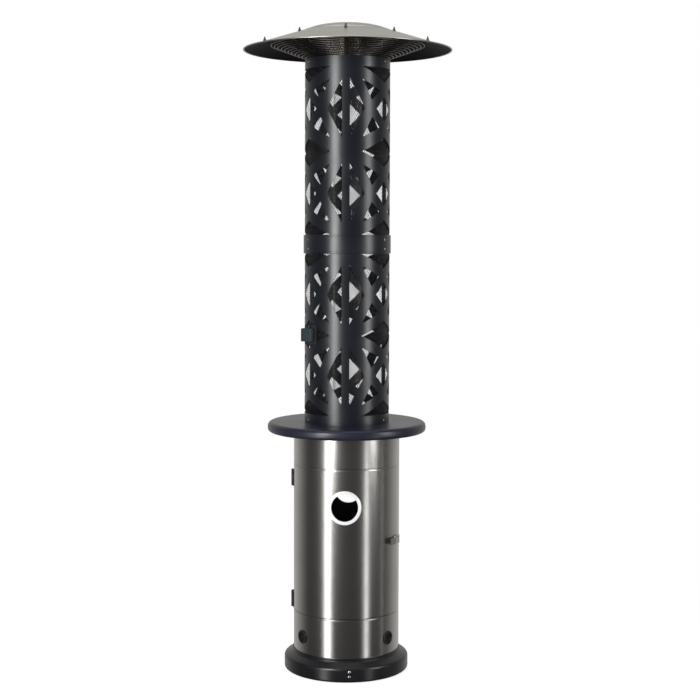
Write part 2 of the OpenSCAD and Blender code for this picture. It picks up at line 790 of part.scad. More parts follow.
module reflector() {
    rise = reflector_top_z - cap_z;
    cap_curve_r = (cap_r * cap_r + rise * rise) / (2 * rise);
    cap_curve_z = reflector_top_z - cap_curve_r;
    cap_angle = asin(cap_r / cap_curve_r);
    color("#c9c7c0") rotate_extrude($fn = 180) {
        polygon(concat(
            [[reflector_r - rim_bead_r, rim_z]],
            arc(0, cap_curve_z, cap_curve_r, 90 - cap_angle, 90, 12),
            arc(0, cap_curve_z, cap_curve_r - sheet_t, 90, 90 - cap_angle, 12),
            [[reflector_r - rim_bead_r, rim_z - sheet_rise]]));
        translate([reflector_r - rim_bead_r, rim_z]) circle(r = rim_bead_r, $fn = 24);
    }
}

module stay_bolt(r) {
    top = underside(r) + sheet_rise;
    rod(0, -r, top - 6, top + 12, 2.5);
    translate([0, -r, top - 0.4]) cylinder(r = 6, h = 1.6, $fn = 48);
    translate([0, -r, top + 1.2]) hex_head(8.4, 4.5);
}

module reflector_bolts() {
    color("#8b8c8c") {
        for (a = stay_angles) at_angle(a) stay_bolt(inner_bolt_r + 6);
        for (a = guard_stay_angles) at_angle(a) stay_bolt(outer_bolt_r);
    }
}

base_cover();
base_pan();
base_weight();
base_feet();
base_bolts();
body_shell();
floor_plate();
vent_grommets();
rear_hole_ring();
door_frame();
fixed_hinge_leaves();
hinge_pins();
latch_keeper();
door_panel();
door_hole_ring();
door_hinge_leaves();
door_ribs();
latch_base();
latch_lever();
latch_bail();
table_top();
table_brackets();
table_screws();
deck_plate();
control_panel();
gas_valve();
gas_inlet();
gas_pipe();
igniter_housing();
valve_plunger();
control_knob();
igniter_button();
burner_venturi();
burner_cup();
burner_head();
pilot_tube();
thermocouple();
spark_electrode();
glass_seat();
glass_tube();
glass_top_ring();
lower_mesh();
upper_mesh();
lower_sleeve();
upper_sleeve();
joint_band();
band_screws();
top_plate();
sleeve_screws();
tilt_switch_box();
tilt_switch_bracket();
flame_drum();
guard_rings();
guard_spokes();
guard_stays();
reflector_stays();
reflector();
reflector_bolts();
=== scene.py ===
"""Looks of a round gas patio heater: housing with a door, waist table, cut-out column and reflector."""

from __future__ import annotations

import json
import logging
import math
from dataclasses import dataclass
from enum import Enum
from functools import cache
from typing import Any, Sequence

import bpy
from mathutils import Matrix, Vector

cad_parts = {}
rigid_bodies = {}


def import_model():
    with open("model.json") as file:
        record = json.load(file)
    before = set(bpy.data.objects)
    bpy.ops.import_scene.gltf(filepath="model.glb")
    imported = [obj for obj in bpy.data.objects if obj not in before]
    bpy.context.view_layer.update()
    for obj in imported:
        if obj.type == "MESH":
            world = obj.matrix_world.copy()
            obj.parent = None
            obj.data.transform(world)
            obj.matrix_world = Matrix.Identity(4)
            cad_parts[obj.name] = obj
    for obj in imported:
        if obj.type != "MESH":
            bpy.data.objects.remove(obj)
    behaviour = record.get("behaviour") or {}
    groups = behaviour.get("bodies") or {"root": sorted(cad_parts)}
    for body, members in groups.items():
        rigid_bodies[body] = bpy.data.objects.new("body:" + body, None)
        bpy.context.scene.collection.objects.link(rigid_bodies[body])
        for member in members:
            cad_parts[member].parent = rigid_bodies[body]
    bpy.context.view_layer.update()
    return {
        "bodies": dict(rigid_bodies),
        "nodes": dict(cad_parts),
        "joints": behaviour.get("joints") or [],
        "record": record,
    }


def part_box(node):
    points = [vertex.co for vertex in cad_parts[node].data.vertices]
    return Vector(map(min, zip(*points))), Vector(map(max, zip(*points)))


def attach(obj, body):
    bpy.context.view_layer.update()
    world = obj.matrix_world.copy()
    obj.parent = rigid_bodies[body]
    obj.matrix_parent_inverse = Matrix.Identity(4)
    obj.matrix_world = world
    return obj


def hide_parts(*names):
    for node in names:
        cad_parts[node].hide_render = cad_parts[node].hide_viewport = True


LOG = logging.getLogger("heater")
Point = tuple[float, float]
SMOOTH_ANGLE = math.radians(32)
TRIM_SMOOTH_ANGLE = math.radians(50)
SHARP_ANGLE = math.radians(40)
WELD = 1e-6
MM = 0.001


# ---------------------------------------------------------------- modelling moves


class Axis(Enum):
    """Which way a drawn outline stands."""

    FLAT = "flat"
    RADIAL = "radial"


def turned(angle: float) -> Matrix:
    """Rotation about the heater's axis, in degrees from the front, positive towards +X."""
    return Matrix.Rotation(math.radians(angle), 4, "Z")


def outward(angle: float, radius: float, height: float) -> Matrix:
    """Frame on the heater's surface whose +Z points away from the axis.

    Args:
        angle: Degrees round the heater from the front.
        radius: Distance from the axis, in metres.
        height: Height above the ground, in metres.

    Returns:
        The frame's matrix, with X round the heater and Y up.
    """
    stand = Matrix.Translation((0, -radius, height)) @ Matrix.Rotation(math.pi / 2, 4, "X")
    return turned(angle) @ stand


def arc(x: float, y: float, radius: float, start: float, end: float, count: int = 6) -> list[Point]:
    """Points of an arc, from angle start to angle end in degrees."""
    steps = [math.radians(start + (end - start) * i / count) for i in range(count + 1)]
    return [(x + radius * math.cos(a), y + radius * math.sin(a)) for a in steps]


def section(inner: float, outer: float, low: float, high: float) -> list[Point]:
    """Rectangular section of a ring, as (radius, height)."""
    return [(inner, low), (outer, low), (outer, high), (inner, high)]


class Bench:
    """The moves that every piece is modelled with."""

    @staticmethod
    def clear() -> None:
        """Leave edit mode and select nothing."""
        if bpy.context.object and bpy.context.object.mode != "OBJECT":
            bpy.ops.object.mode_set(mode="OBJECT")
        bpy.ops.object.select_all(action="DESELECT")

    @staticmethod
    def pick(*pieces: bpy.types.Object) -> None:
        """Select these pieces only, and make the first one active."""
        Bench.clear()
        for piece in pieces:
            piece.select_set(True)
        bpy.context.view_layer.objects.active = pieces[0]

    @staticmethod
    def named(name: str) -> bpy.types.Object:
        """Name the active object and its mesh."""
        piece = bpy.context.object
        piece.name = name
        piece.data.name = name
        return piece

    @staticmethod
    def drawn(name: str, points: Sequence[Point], axis: Axis, closed: bool = True) -> bpy.types.Object:
        """Draw an outline by placing one vertex and extruding it from point to point.

        Args:
            name: Name of the new piece.
            points: Corners of the outline, in metres.
            axis: FLAT draws in the XY plane, RADIAL draws (radius, height) in front of the axis.
            closed: Whether the outline returns to its first point.

        Returns:
            The piece, left in edit mode with every vertex selected.
        """
        flat = axis is Axis.FLAT
        places = [Vector((x, y, 0)) if flat else Vector((0, -x, y)) for x, y in points]
        Bench.clear()
        bpy.ops.mesh.primitive_plane_add(size=0.001, location=places[0])
        piece = Bench.named(name)
        bpy.ops.object.transform_apply(location=True, rotation=True, scale=True)
        bpy.ops.object.mode_set(mode="EDIT")
        bpy.ops.mesh.select_all(action="SELECT")
        bpy.ops.mesh.merge(type="CENTER")
        route = places[1:] + ([places[0]] if closed else [])
        for before, after in zip(places, route):
            bpy.ops.mesh.extrude_vertices_move(TRANSFORM_OT_translate={"value": after - before})
        bpy.ops.mesh.select_all(action="SELECT")
        if closed:
            bpy.ops.mesh.remove_doubles(threshold=WELD)
        return piece

    @staticmethod
    def placed(piece: bpy.types.Object, place: Matrix) -> bpy.types.Object:
        """Put a piece's place into its mesh, with its object left at the origin."""
        Bench.pick(piece)
        piece.matrix_world = place @ piece.matrix_world
        bpy.ops.object.transform_apply(location=True, rotation=True, scale=True)
        return piece

    @staticmethod
    def spun(
        name: str, profile: Sequence[Point], steps: int = 180, start: float = 0.0, sweep: float = 360.0,
        closed: bool = True,
    ) -> bpy.types.Object:
        """Spin a (radius, height) profile round the heater's axis.

        Args:
            name: Name of the new piece.
            profile: Corners of the profile, in metres.
            steps: Number of steps in the turn.
            start: Angle of the first section, in degrees from the front.
            sweep: Angle that the profile turns through.
            closed: Whether the profile is a closed outline.

        Returns:
            The spun piece, with its normals pointing out.
        """
        piece = Bench.drawn(name, profile, Axis.RADIAL, closed)
        whole = sweep >= 360.0
        if not whole:
            bpy.ops.mesh.edge_face_add()
        bpy.ops.mesh.spin(
            steps=steps, angle=math.radians(sweep), center=(0, 0, 0), axis=(0, 0, -1), use_auto_merge=False
        )
        bpy.ops.mesh.select_all(action="SELECT")
        bpy.ops.mesh.remove_doubles(threshold=WELD)
        bpy.ops.mesh.dissolve_degenerate(threshold=1e-7)
        bpy.ops.mesh.delete_loose()
        bpy.ops.mesh.select_all(action="SELECT")
        bpy.ops.mesh.normals_make_consistent(inside=False)
        bpy.ops.object.mode_set(mode="OBJECT")
        return Bench.placed(piece, turned(start))

    @staticmethod
    def plate(name: str, outline: Sequence[Point], depth: float, place: Matrix) -> bpy.types.Object:
        """Extrude a flat outline by depth, then put it in place.

        Args:
            name: Name of the new piece.
            outline: Corners in the XY plane of the place, in metres.
            depth: Thickness along the place's +Z.
            place: Where the plate goes.

        Returns:
            The plate, with its normals pointing out.
        """
        piece = Bench.drawn(name, outline, Axis.FLAT)
        bpy.ops.mesh.edge_face_add()
        bpy.ops.mesh.extrude_region_move(TRANSFORM_OT_translate={"value": (0, 0, depth)})
        bpy.ops.mesh.select_all(action="SELECT")
        bpy.ops.mesh.normals_make_consistent(inside=False)
        bpy.ops.object.mode_set(mode="OBJECT")
        return Bench.placed(piece, place)

    @staticmethod
    def rod(name: str, radius: float, length: float, place: Matrix, sides: int = 24) -> bpy.types.Object:
        """Straight rod from the place's origin along its +Z."""
        Bench.clear()
        bpy.ops.mesh.primitive_cylinder_add(
            vertices=sides, radius=radius, depth=length, location=(0, 0, length / 2)
        )
        return Bench.placed(Bench.named(name), place)

    @staticmethod
    def copies(piece: bpy.types.Object, places: Sequence[Matrix]) -> list[bpy.types.Object]:
        """Copy a piece to each place, each copy with its own mesh, and drop the original."""
        made = []
        for index, place in enumerate(places):
            copy = piece.copy()
            copy.data = piece.data.copy()
            copy.name = f"{piece.name}_{index}"
            bpy.context.collection.objects.link(copy)
            made.append(Bench.placed(copy, place))
        bpy.data.objects.remove(piece)
        return made

    @staticmethod
    def joined(name: str, pieces: Sequence[bpy.types.Object]) -> bpy.types.Object:
        """Join pieces into one object."""
        Bench.pick(*pieces)
        bpy.ops.object.join()
        return Bench.named(name)

    @staticmethod
    def modified(piece: bpy.types.Object, kind: str, **settings: Any) -> bpy.types.Object:
        """Add a modifier with these settings and apply it."""
        Bench.pick(piece)
        modifier = piece.modifiers.new(kind.title(), kind)
        for name, value in settings.items():
            setattr(modifier, name, value)
        bpy.ops.object.modifier_apply(modifier=modifier.name)
        return piece

    @staticmethod
    def cut(piece: bpy.types.Object, *cutters: bpy.types.Object) -> bpy.types.Object:
        """Cut these solids out of a piece, and drop them."""
        tool = Bench.joined("cutter", cutters) if len(cutters) > 1 else cutters[0]
        Bench.modified(piece, "BOOLEAN", operation="DIFFERENCE", solver="EXACT", object=tool)
        bpy.data.objects.remove(tool)
        return piece

    @staticmethod
    def eased(piece: bpy.types.Object, width: float, segments: int = 2) -> bpy.types.Object:
        """Round a piece's sharp edges."""
        Bench.modified(piece, "BEVEL", width=width, segments=segments, limit_method="ANGLE",
                       angle_limit=SHARP_ANGLE, use_clamp_overlap=True)
        return Bench.smooth(piece)

    @staticmethod
    def smooth(piece: bpy.types.Object, angle: float = SMOOTH_ANGLE) -> bpy.types.Object:
        """Shade a piece smooth, apart from its sharp edges."""
        Bench.pick(piece)
        bpy.ops.object.shade_smooth_by_angle(angle=angle, keep_sharp_edges=False)
        return Bench.modified(piece, "WEIGHTED_NORMAL", keep_sharp=True, weight=90)


# ---------------------------------------------------------------- materials


class Value:
    """A number socket with the usual arithmetic, where each operation adds a Math node."""

    def __init__(self, look: Look, socket: bpy.types.NodeSocket) -> None:
        """Wrap a socket of a look's node tree."""
        self.look = look
        self.socket = socket

    def math(self, operation: str, *others: Value | float, flipped: bool = False) -> Value:
        """Apply one Math node.

        Args:
            operation: The Math node's operation.
            others: Its other inputs.
            flipped: Whether this value is the second input.

        Returns:
            The node's result.
        """
        inputs = [*others, self] if flipped else [self, *others]
        node = self.look.node("ShaderNodeMath", {"operation": operation}, dict(enumerate(inputs)))
        return Value(self.look, node.outputs[0])

    def __add__(self, other: Value | float) -> Value:
        """Return self + other."""
        return self.math("ADD", other)

    def __radd__(self, other: float) -> Value:
        """Return other + self."""
        return self.math("ADD", other, flipped=True)

    def __sub__(self, other: Value | float) -> Value:
        """Return self - other."""
        return self.math("SUBTRACT", other)

    def __rsub__(self, other: float) -> Value:
        """Return other - self."""
        return self.math("SUBTRACT", other, flipped=True)

    def __mul__(self, other: Value | float) -> Value:
        """Return self * other."""
        return self.math("MULTIPLY", other)

    def __rmul__(self, other: float) -> Value:
        """Return other * self."""
        return self.math("MULTIPLY", other, flipped=True)

    def __truediv__(self, other: Value | float) -> Value:
        """Return self / other."""
        return self.math("DIVIDE", other)

    def __pow__(self, other: float) -> Value:
        """Return self to the power of other."""
        return self.math("POWER", other)

    def root(self) -> Value:
        """Return the square root."""
        return self.math("SQRT")

    def over(self, edge: float, width: float) -> Value:
        """Return a soft step, from 0 below an edge to 1 above it."""
        settings = {"interpolation_type": "SMOOTHSTEP"}
        inputs = {"Value": self, "From Min": edge - width / 2, "From Max": edge + width / 2}
        return Value(self.look, self.look.node("ShaderNodeMapRange", settings, inputs).outputs["Result"])


class Look:
    """One material's node tree, with a Principled shader to dress."""

    def __init__(self, name: str) -> None:
        """Start a material with nothing but its shader and its output."""
        self.material = bpy.data.materials.new(name)
        self.material.use_nodes = True
        self.tree = self.material.node_tree
        self.shader = next(n for n in self.tree.nodes if n.type == "BSDF_PRINCIPLED")

    def node(self, kind: str, settings: dict[str, Any] | None = None,
             inputs: dict[str | int, Any] | None = None) -> bpy.types.Node:
        """Add any node.

        Args:
            kind: The node's type.
            settings: Its properties, set first; "stops" gives a ramp's places and colours.
            inputs: Numbers, colours, values or sockets for its inputs.

        Returns:
            The node.
        """
        node = self.tree.nodes.new(kind)
        for name, value in (settings or {}).items():
            if name == "stops":
                self.stops(node.color_ramp, value)
            else:
                setattr(node, name, value)
        for name, value in (inputs or {}).items():
            self.feed(node.inputs[name], value)
        return node

    @staticmethod
    def stops(ramp: bpy.types.ColorRamp, stops: Sequence[tuple[float, Sequence[float]]]) -> None:
        """Give a colour ramp its stops."""
        while len(ramp.elements) < len(stops):
            ramp.elements.new(0.5)
        for element, (place, color) in zip(ramp.elements, stops):
            element.position = place
            element.color = (*color, 1.0)

    def feed(self, socket: bpy.types.NodeSocket, value: Any) -> None:
        """Set a socket to a number or colour, or link a value to it."""
        source = value.socket if isinstance(value, Value) else value
        if isinstance(source, bpy.types.NodeSocket):
            self.tree.links.new(source, socket)
        elif socket.type == "RGBA" and len(source) == 3:
            socket.default_value = (*source, 1.0)
        else:
            socket.default_value = source

    def dress(self, **inputs: Any) -> None:
        """Set the shader's inputs, named with underscores for spaces."""
        for name, value in inputs.items():
            self.feed(self.shader.inputs[name.replace("_", " ").title().replace("Ior", "IOR")], value)

    def place(self) -> tuple[Value, Value, Value]:
        """Return the piece's own X, Y and Z, in metres."""
        where = self.node("ShaderNodeTexCoord").outputs["Object"]
        parts = self.node("ShaderNodeSeparateXYZ", inputs={0: where})
        return tuple(Value(self, parts.outputs[i]) for i in range(3))

    def point(self, x: Value | float, y: Value | float, z: Value | float) -> bpy.types.NodeSocket:
        """Return a point made of three values."""
        return self.node("ShaderNodeCombineXYZ", inputs={0: x, 1: y, 2: z}).outputs[0]

    def noise(self, where: bpy.types.NodeSocket, scale: float, detail: float = 3.0,
              rough: float = 0.55) -> Value:
        """Return a noise from 0 to 1 at a point."""
        inputs = {"Vector": where, "Scale": scale, "Detail": detail, "Roughness": rough}
        return Value(self, self.node("ShaderNodeTexNoise", inputs=inputs).outputs[0])

    def mixed(self, share: Value, first: Sequence[float], second: Sequence[float]) -> bpy.types.NodeSocket:
        """Return a colour between two, by a share from 0 to 1."""
        node = self.node("ShaderNodeMix", {"data_type": "RGBA"}, {0: share, 6: first, 7: second})
        return node.outputs[2]

    def bump(self, height: Value, strength: float, distance: float) -> None:
        """Raise the surface by a height, in metres for a height of 1."""
        inputs = {"Height": height, "Strength": strength, "Distance": distance}
        self.feed(self.shader.inputs["Normal"], self.node("ShaderNodeBump", inputs=inputs).outputs[0])


class Grain(Enum):
    """Which way the fine scratches of a metal run."""

    ROUND = "round the heater"
    SPUN = "round the middle of a dish"
    ALONG = "along the height"
    PLAIN = "no direction"


Color = tuple[float, float, float]


@dataclass(frozen=True)
class Metal:
    """Bare metal with fine scratches, a little staining and uneven gloss."""

    name: str
    color: Color
    rough: float
    grain: Grain = Grain.PLAIN
    fine: float = 900.0
    scratch: float = 0.12
    spread: float = 0.10
    stain: Color | None = None

    def scratches(self, look: Look) -> Value:
        """Return the scratches as a noise that is stretched along the grain."""
        x, y, z = look.place()
        radius = (x * x + y * y).root()
        where = {
            Grain.ROUND: lambda: look.point(x * 3.0, y * 3.0, z * self.fine),
            Grain.SPUN: lambda: look.point(x * 2.0, y * 2.0, radius * self.fine),
            Grain.ALONG: lambda: look.point(x * self.fine, y * self.fine, z * 3.0),
            Grain.PLAIN: lambda: look.point(x * self.fine, y * self.fine, z * self.fine),
        }[self.grain]()
        return look.noise(where, 1.0, 4.0, 0.7)

    def material(self) -> bpy.types.Material:
        """Return the material."""
        look = Look(self.name)
        scratches = self.scratches(look)
        x, y, z = look.place()
        patches = look.noise(look.point(x, y, z), 7.0, 4.0)
        worn = self.stain or tuple(c * 0.86 for c in self.color)
        share = patches.over(0.56, 0.30) * 0.55 + scratches.over(0.5, 0.5) * 0.45
        look.dress(
            base_color=look.mixed(share, self.color, worn),
            metallic=1.0,
            roughness=self.rough + (scratches - 0.5) * self.spread * 2.0 + (patches - 0.5) * self.spread,
        )
        look.bump(scratches, self.scratch, 0.0002)
        return look.material


@dataclass(frozen=True)
class Coat:
    """Paint, powder coat or moulded plastic: a fine skin texture and a little dust."""

    name: str
    color: Color
    rough: float
    dust: Color | None = None
    dust_share: float = 0.25
    pebble: float = 1400.0
    depth: float = 0.12
    coat: float = 0.0
    metallic: float = 0.0
    specular: float = 0.5

    def material(self) -> bpy.types.Material:
        """Return the material."""
        look = Look(self.name)
        where = look.point(*look.place())
        skin = look.noise(where, self.pebble, 2.0)
        clouds = look.noise(where, 9.0, 5.0, 0.6)
        dust = self.dust or tuple(c * 1.5 + 0.004 for c in self.color)
        share = clouds.over(0.52, 0.4) * self.dust_share + skin.over(0.55, 0.3) * (self.dust_share * 0.6)
        look.dress(
            base_color=look.mixed(share, self.color, dust),
            metallic=self.metallic,
            roughness=self.rough + (clouds - 0.5) * 0.16 + (skin - 0.5) * 0.08,
            coat_weight=self.coat,
            coat_roughness=0.18,
            specular_ior_level=self.specular,
        )
        look.bump(skin * 0.7 + clouds * 0.3, self.depth, 0.00025)
        return look.material


@dataclass(frozen=True)
class ClearGlass:
    """Thin clear glass, which shows mostly where it turns away."""

    name: str
    color: Color = (0.16, 0.17, 0.18)
    clear: float = 0.015
    edge: float = 0.55

    def material(self) -> bpy.types.Material:
        """Return the material."""
        look = Look(self.name)
        turned_away = Value(look, look.node("ShaderNodeLayerWeight", inputs={"Blend": 0.5}).outputs["Facing"])
        x, y, z = look.place()
        haze = look.noise(look.point(x * 2.0, y * 2.0, z * 6.0), 4.0, 4.0)
        look.dress(
            base_color=look.mixed(haze, self.color, tuple(c * 0.85 for c in self.color)),
            roughness=haze * 0.05 + 0.02,
            alpha=(turned_away ** 4.0) * self.edge + haze * 0.03 + self.clear,
            specular_ior_level=0.6,
        )
        look.material.surface_render_method = "BLENDED"
        return look.material


class Finish(Enum):
    """Every finish on the heater."""

    HOUSING = Metal("brushed_housing", (0.52, 0.51, 0.49), 0.235, Grain.ROUND, 1500.0, 0.03, 0.03)
    REFLECTOR = Metal("spun_steel", (0.50, 0.49, 0.45), 0.34, Grain.SPUN, 900.0, 0.08, 0.08)
    # Reflector underside: near-black colour and almost no gloss, a painted shade and a painted dark
    # reflection of the floor under the dish.
    UNDERSIDE_SHADE = Coat("painted_shade_underside", (0.0035, 0.0035, 0.006), 0.50, (0.007, 0.007, 0.009), 0.30, 500.0, 0.10,
                  specular=0.02)
    # Near-white colour on the polished trim rings: a painted highlight in place of their bright reflection.
    TRIM = Coat("trim_painted_highlight", (0.95, 0.95, 0.97), 0.30, (0.88, 0.88, 0.91), 0.30, 900.0, 0.02,
                metallic=0.15)
    DRUM = Metal("pierced_drum", (0.66, 0.60, 0.55), 0.36, Grain.ALONG, 700.0, 0.10, 0.10, (0.52, 0.40, 0.28))
    # Plated guard and stay wire coloured near-black: painted shade for the shade under the reflector.
    WIRE = Metal("plated_wire_painted_shade", (0.11, 0.10, 0.095), 0.36, Grain.PLAIN, 700.0, 0.06, 0.10)
    STUD = Metal("blackened_stud", (0.10, 0.10, 0.10), 0.42, Grain.PLAIN, 1200.0, 0.08, 0.10)
    FASTENER = Metal("screw_steel", (0.58, 0.58, 0.58), 0.30, Grain.PLAIN, 1200.0, 0.08, 0.10)
    LATCH = Metal("latch_plate", (0.50, 0.50, 0.49), 0.30, Grain.ALONG, 900.0, 0.08, 0.10)
    ZINC = Metal("zinc_sheet", (0.42, 0.42, 0.41), 0.42, Grain.PLAIN, 120.0, 0.06, 0.16, (0.30, 0.30, 0.30))
    BRASS = Metal("turned_brass", (0.66, 0.50, 0.24), 0.30, Grain.PLAIN, 900.0, 0.06, 0.10)
    COPPER = Metal("copper_tube", (0.70, 0.38, 0.25), 0.28, Grain.PLAIN, 600.0, 0.06, 0.12)
    BURNER = Metal("scorched_burner", (0.34, 0.31, 0.28), 0.45, Grain.PLAIN, 300.0, 0.10, 0.14,
                   (0.20, 0.15, 0.12))
    SLEEVE = Coat("anthracite_coat", (0.007, 0.009, 0.014), 0.31, (0.013, 0.016, 0.023), 0.22, 1500.0, 0.08,
                  specular=0.62)
    BASE = Coat("black_enamel", (0.006, 0.006, 0.008), 0.34, (0.012, 0.012, 0.015), 0.30, 1300.0, 0.08, 0.15)
    TABLE = Coat("table_enamel", (0.012, 0.013, 0.026), 0.36, (0.026, 0.028, 0.050), 0.35, 1500.0, 0.10, 0.12)
    DARK_STEEL = Coat("blackened_plate", (0.010, 0.010, 0.012), 0.40, (0.035, 0.034, 0.033), 0.25,
                      1100.0, 0.14)
    MESH = Coat("black_wire", (0.008, 0.008, 0.010), 0.36, (0.018, 0.018, 0.021), 0.30, 2200.0, 0.20)
    SWITCH = Coat("switch_case", (0.020, 0.032, 0.038), 0.34, (0.060, 0.080, 0.090), 0.30, 1800.0, 0.20)
    VENT = Coat("vent_plug", (0.008, 0.008, 0.009), 0.38, (0.020, 0.020, 0.022), 0.30, 1800.0, 0.20)
    CONTROL = Coat("moulded_control", (0.016, 0.017, 0.020), 0.42, (0.040, 0.041, 0.046), 0.25, 2400.0, 0.30)
    BUTTON = Coat("button_red", (0.40, 0.020, 0.014), 0.26, (0.30, 0.030, 0.020), 0.30, 2000.0, 0.06, 0.3)
    RUBBER = Coat("foot_rubber", (0.014, 0.014, 0.014), 0.70, (0.050, 0.048, 0.046), 0.40, 900.0, 0.40)
    IRON = Coat("cast_weight", (0.09, 0.085, 0.08), 0.72, (0.15, 0.13, 0.11), 0.40, 260.0, 0.60)
    CERAMIC = Coat("white_ceramic", (0.72, 0.70, 0.64), 0.24, (0.60, 0.57, 0.50), 0.30, 900.0, 0.05, 0.4)
    GLASS = ClearGlass("flame_tube_glass")

    @cache
    def material(self) -> bpy.types.Material:
        """Return the finish's material, made once."""
        return self.value.material()


# ---------------------------------------------------------------- the frame


@dataclass(frozen=True)
class Span:
    """How far a CAD node reaches, in metres."""

    low: Vector
    high: Vector

    @classmethod
    def of(cls, node: str) -> Span:
        """Measure a CAD node."""
        return cls(*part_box(node))

    @property
    def radius(self) -> float:
        """Half of its width."""
        return (self.high.x - self.low.x) / 2


class Assembly:
    """A group of pieces that is built, dressed and fastened to the frame together."""

    def __init__(self, frame: dict[str, Any]) -> None:
        """Keep the frame that the pieces go on."""
        self.frame = frame

    def fit(self, piece: bpy.types.Object, finish: Finish, slot: str, body: str = "stand",
            instead_of: Sequence[str] = ()) -> bpy.types.Object:
        """Dress a piece and fasten it to its body.

        Args:
            piece: The finished piece.
            finish: Its finish.
            slot: The record's material slot that it stands for; not used.
            body: The CAD body that it moves with.
            instead_of: CAD nodes that it stands for.

        Returns:
            The piece.
        """
        piece.data.materials.clear()
        piece.data.materials.append(finish.material())
        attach(piece, body)
        if instead_of:
            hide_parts(*instead_of)
        LOG.info("%s: %d faces on %s", piece.name, len(piece.data.polygons), body)
        return piece

    def dress(self, nodes: dict[str, Finish]) -> None:
        """Give CAD nodes their finishes."""
        for name, finish in nodes.items():
            mesh = self.frame["nodes"][name].data
            mesh.materials.clear()
            mesh.materials.append(finish.material())
            LOG.info("%s: carried over, %s", name, finish.value.name)


# ---------------------------------------------------------------- fasteners and plates


def rounded(width: float, height: float, radius: float) -> list[Point]:
    """Outline of a rectangle with round corners, about its middle."""
    x, y = width / 2 - radius, height / 2 - radius
    corners = [(x, y, 0), (-x, y, 90), (-x, -y, 180), (x, -y, 270)]
    return [p for cx, cy, start in corners for p in arc(cx, cy, radius, start, start + 90, 4)]


def wrapped(piece: bpy.types.Object, radius: float, angle: float, height: float) -> bpy.types.Object:
    """Bend a flat piece round the heater.

    Args:
        piece: A piece whose X runs round the heater, Y up and Z outwards.
        radius: Radius that its Z = 0 plane is bent to.
        angle: Where its X = 0 line goes, in degrees from the front.
        height: Where its Y = 0 line goes.

    Returns:
        The bent piece.
    """
    for vertex in piece.data.vertices:
        x, y, z = vertex.co
        turn = x / radius
        vertex.co = ((radius + z) * math.sin(turn), -(radius + z) * math.cos(turn), y + height)
    return Bench.placed(piece, turned(angle))


@dataclass(frozen=True)
class DomeScrew:
    """Domed screw with a hexagon socket, in metres.

    Fields: radius and height of the head; radius of the shank, and its length under the head.
    """

    head: float
    rise: float
    shank: float
    length: float

    def group(self, name: str, places: Sequence[Matrix]) -> bpy.types.Object:
        """Model the screw once and copy it.

        Args:
            name: Name of the group.
            places: Where each head's underside goes, with +Z outwards.

        Returns:
            All the screws as one piece.
        """
        edge = 0.18
        dome = [math.radians(a) for a in range(15, 91, 15)]
        profile = [(0, -self.length), (self.shank, -self.length), (self.shank, 0), (self.head, 0)]
        profile += [(self.head, self.rise * edge)]
        profile += [(self.head * math.cos(a), self.rise * (edge + (1 - edge) * math.sin(a))) for a in dome]
        screw = Bench.spun(name, profile, steps=32)
        foot = Matrix.Translation((0, 0, self.rise * 0.45))
        Bench.smooth(Bench.cut(screw, Bench.rod("socket", self.head * 0.42, self.rise, foot, sides=6)))
        return Bench.joined(name, Bench.copies(screw, places))


BASE_BOLT = DomeScrew(0.0056, 0.0032, 0.003, 0.012)
BAND_SCREW = DomeScrew(0.0034, 0.002, 0.0016, 0.005)
SLEEVE_SCREW = DomeScrew(0.0032, 0.0018, 0.0015, 0.0014)


class Stud:
    """Washer and nut on a threaded stud."""

    @staticmethod
    def stud_nuts(name: str, places: Sequence[Matrix]) -> bpy.types.Object:
        """Washers and nuts on threaded studs, each place on a sheet's surface with +Z up."""
        washer = Bench.spun("washer", section(0.0026, 0.006, -0.0004, 0.0012), 32)
        Bench.eased(washer, 0.0003)
        nut = Bench.rod("nut", 0.00485, 0.0045, Matrix.Translation((0, 0, 0.0012)), sides=6)
        chamfer = [(0.0, 0.0008), (0.0044, 0.0008), (0.0057, 0.0020), (0.0057, 0.0050), (0.0044, 0.0061),
                   (0.0, 0.0061)]
        cone = Bench.spun("chamfer", chamfer, 32)
        Bench.modified(nut, "BOOLEAN", operation="INTERSECT", solver="EXACT", object=cone)
        bpy.data.objects.remove(cone)
        turns = 7
        thread = [(0.0, -0.006), (0.0023, -0.006), (0.0023, 0.0057)]
        for turn in range(turns):
            foot = 0.0058 + turn * 0.0008
            thread += [(0.0023, foot), (0.0026, foot + 0.0003), (0.0023, foot + 0.0006)]
        thread += [(0.0018, 0.0120), (0.0, 0.0120)]
        stud = Bench.smooth(Bench.spun("stud", thread, 24))
        whole = Bench.joined(name, [washer, Bench.smooth(nut), stud])
        return Bench.joined(name, Bench.copies(whole, places))


# ---------------------------------------------------------------- sub-assemblies


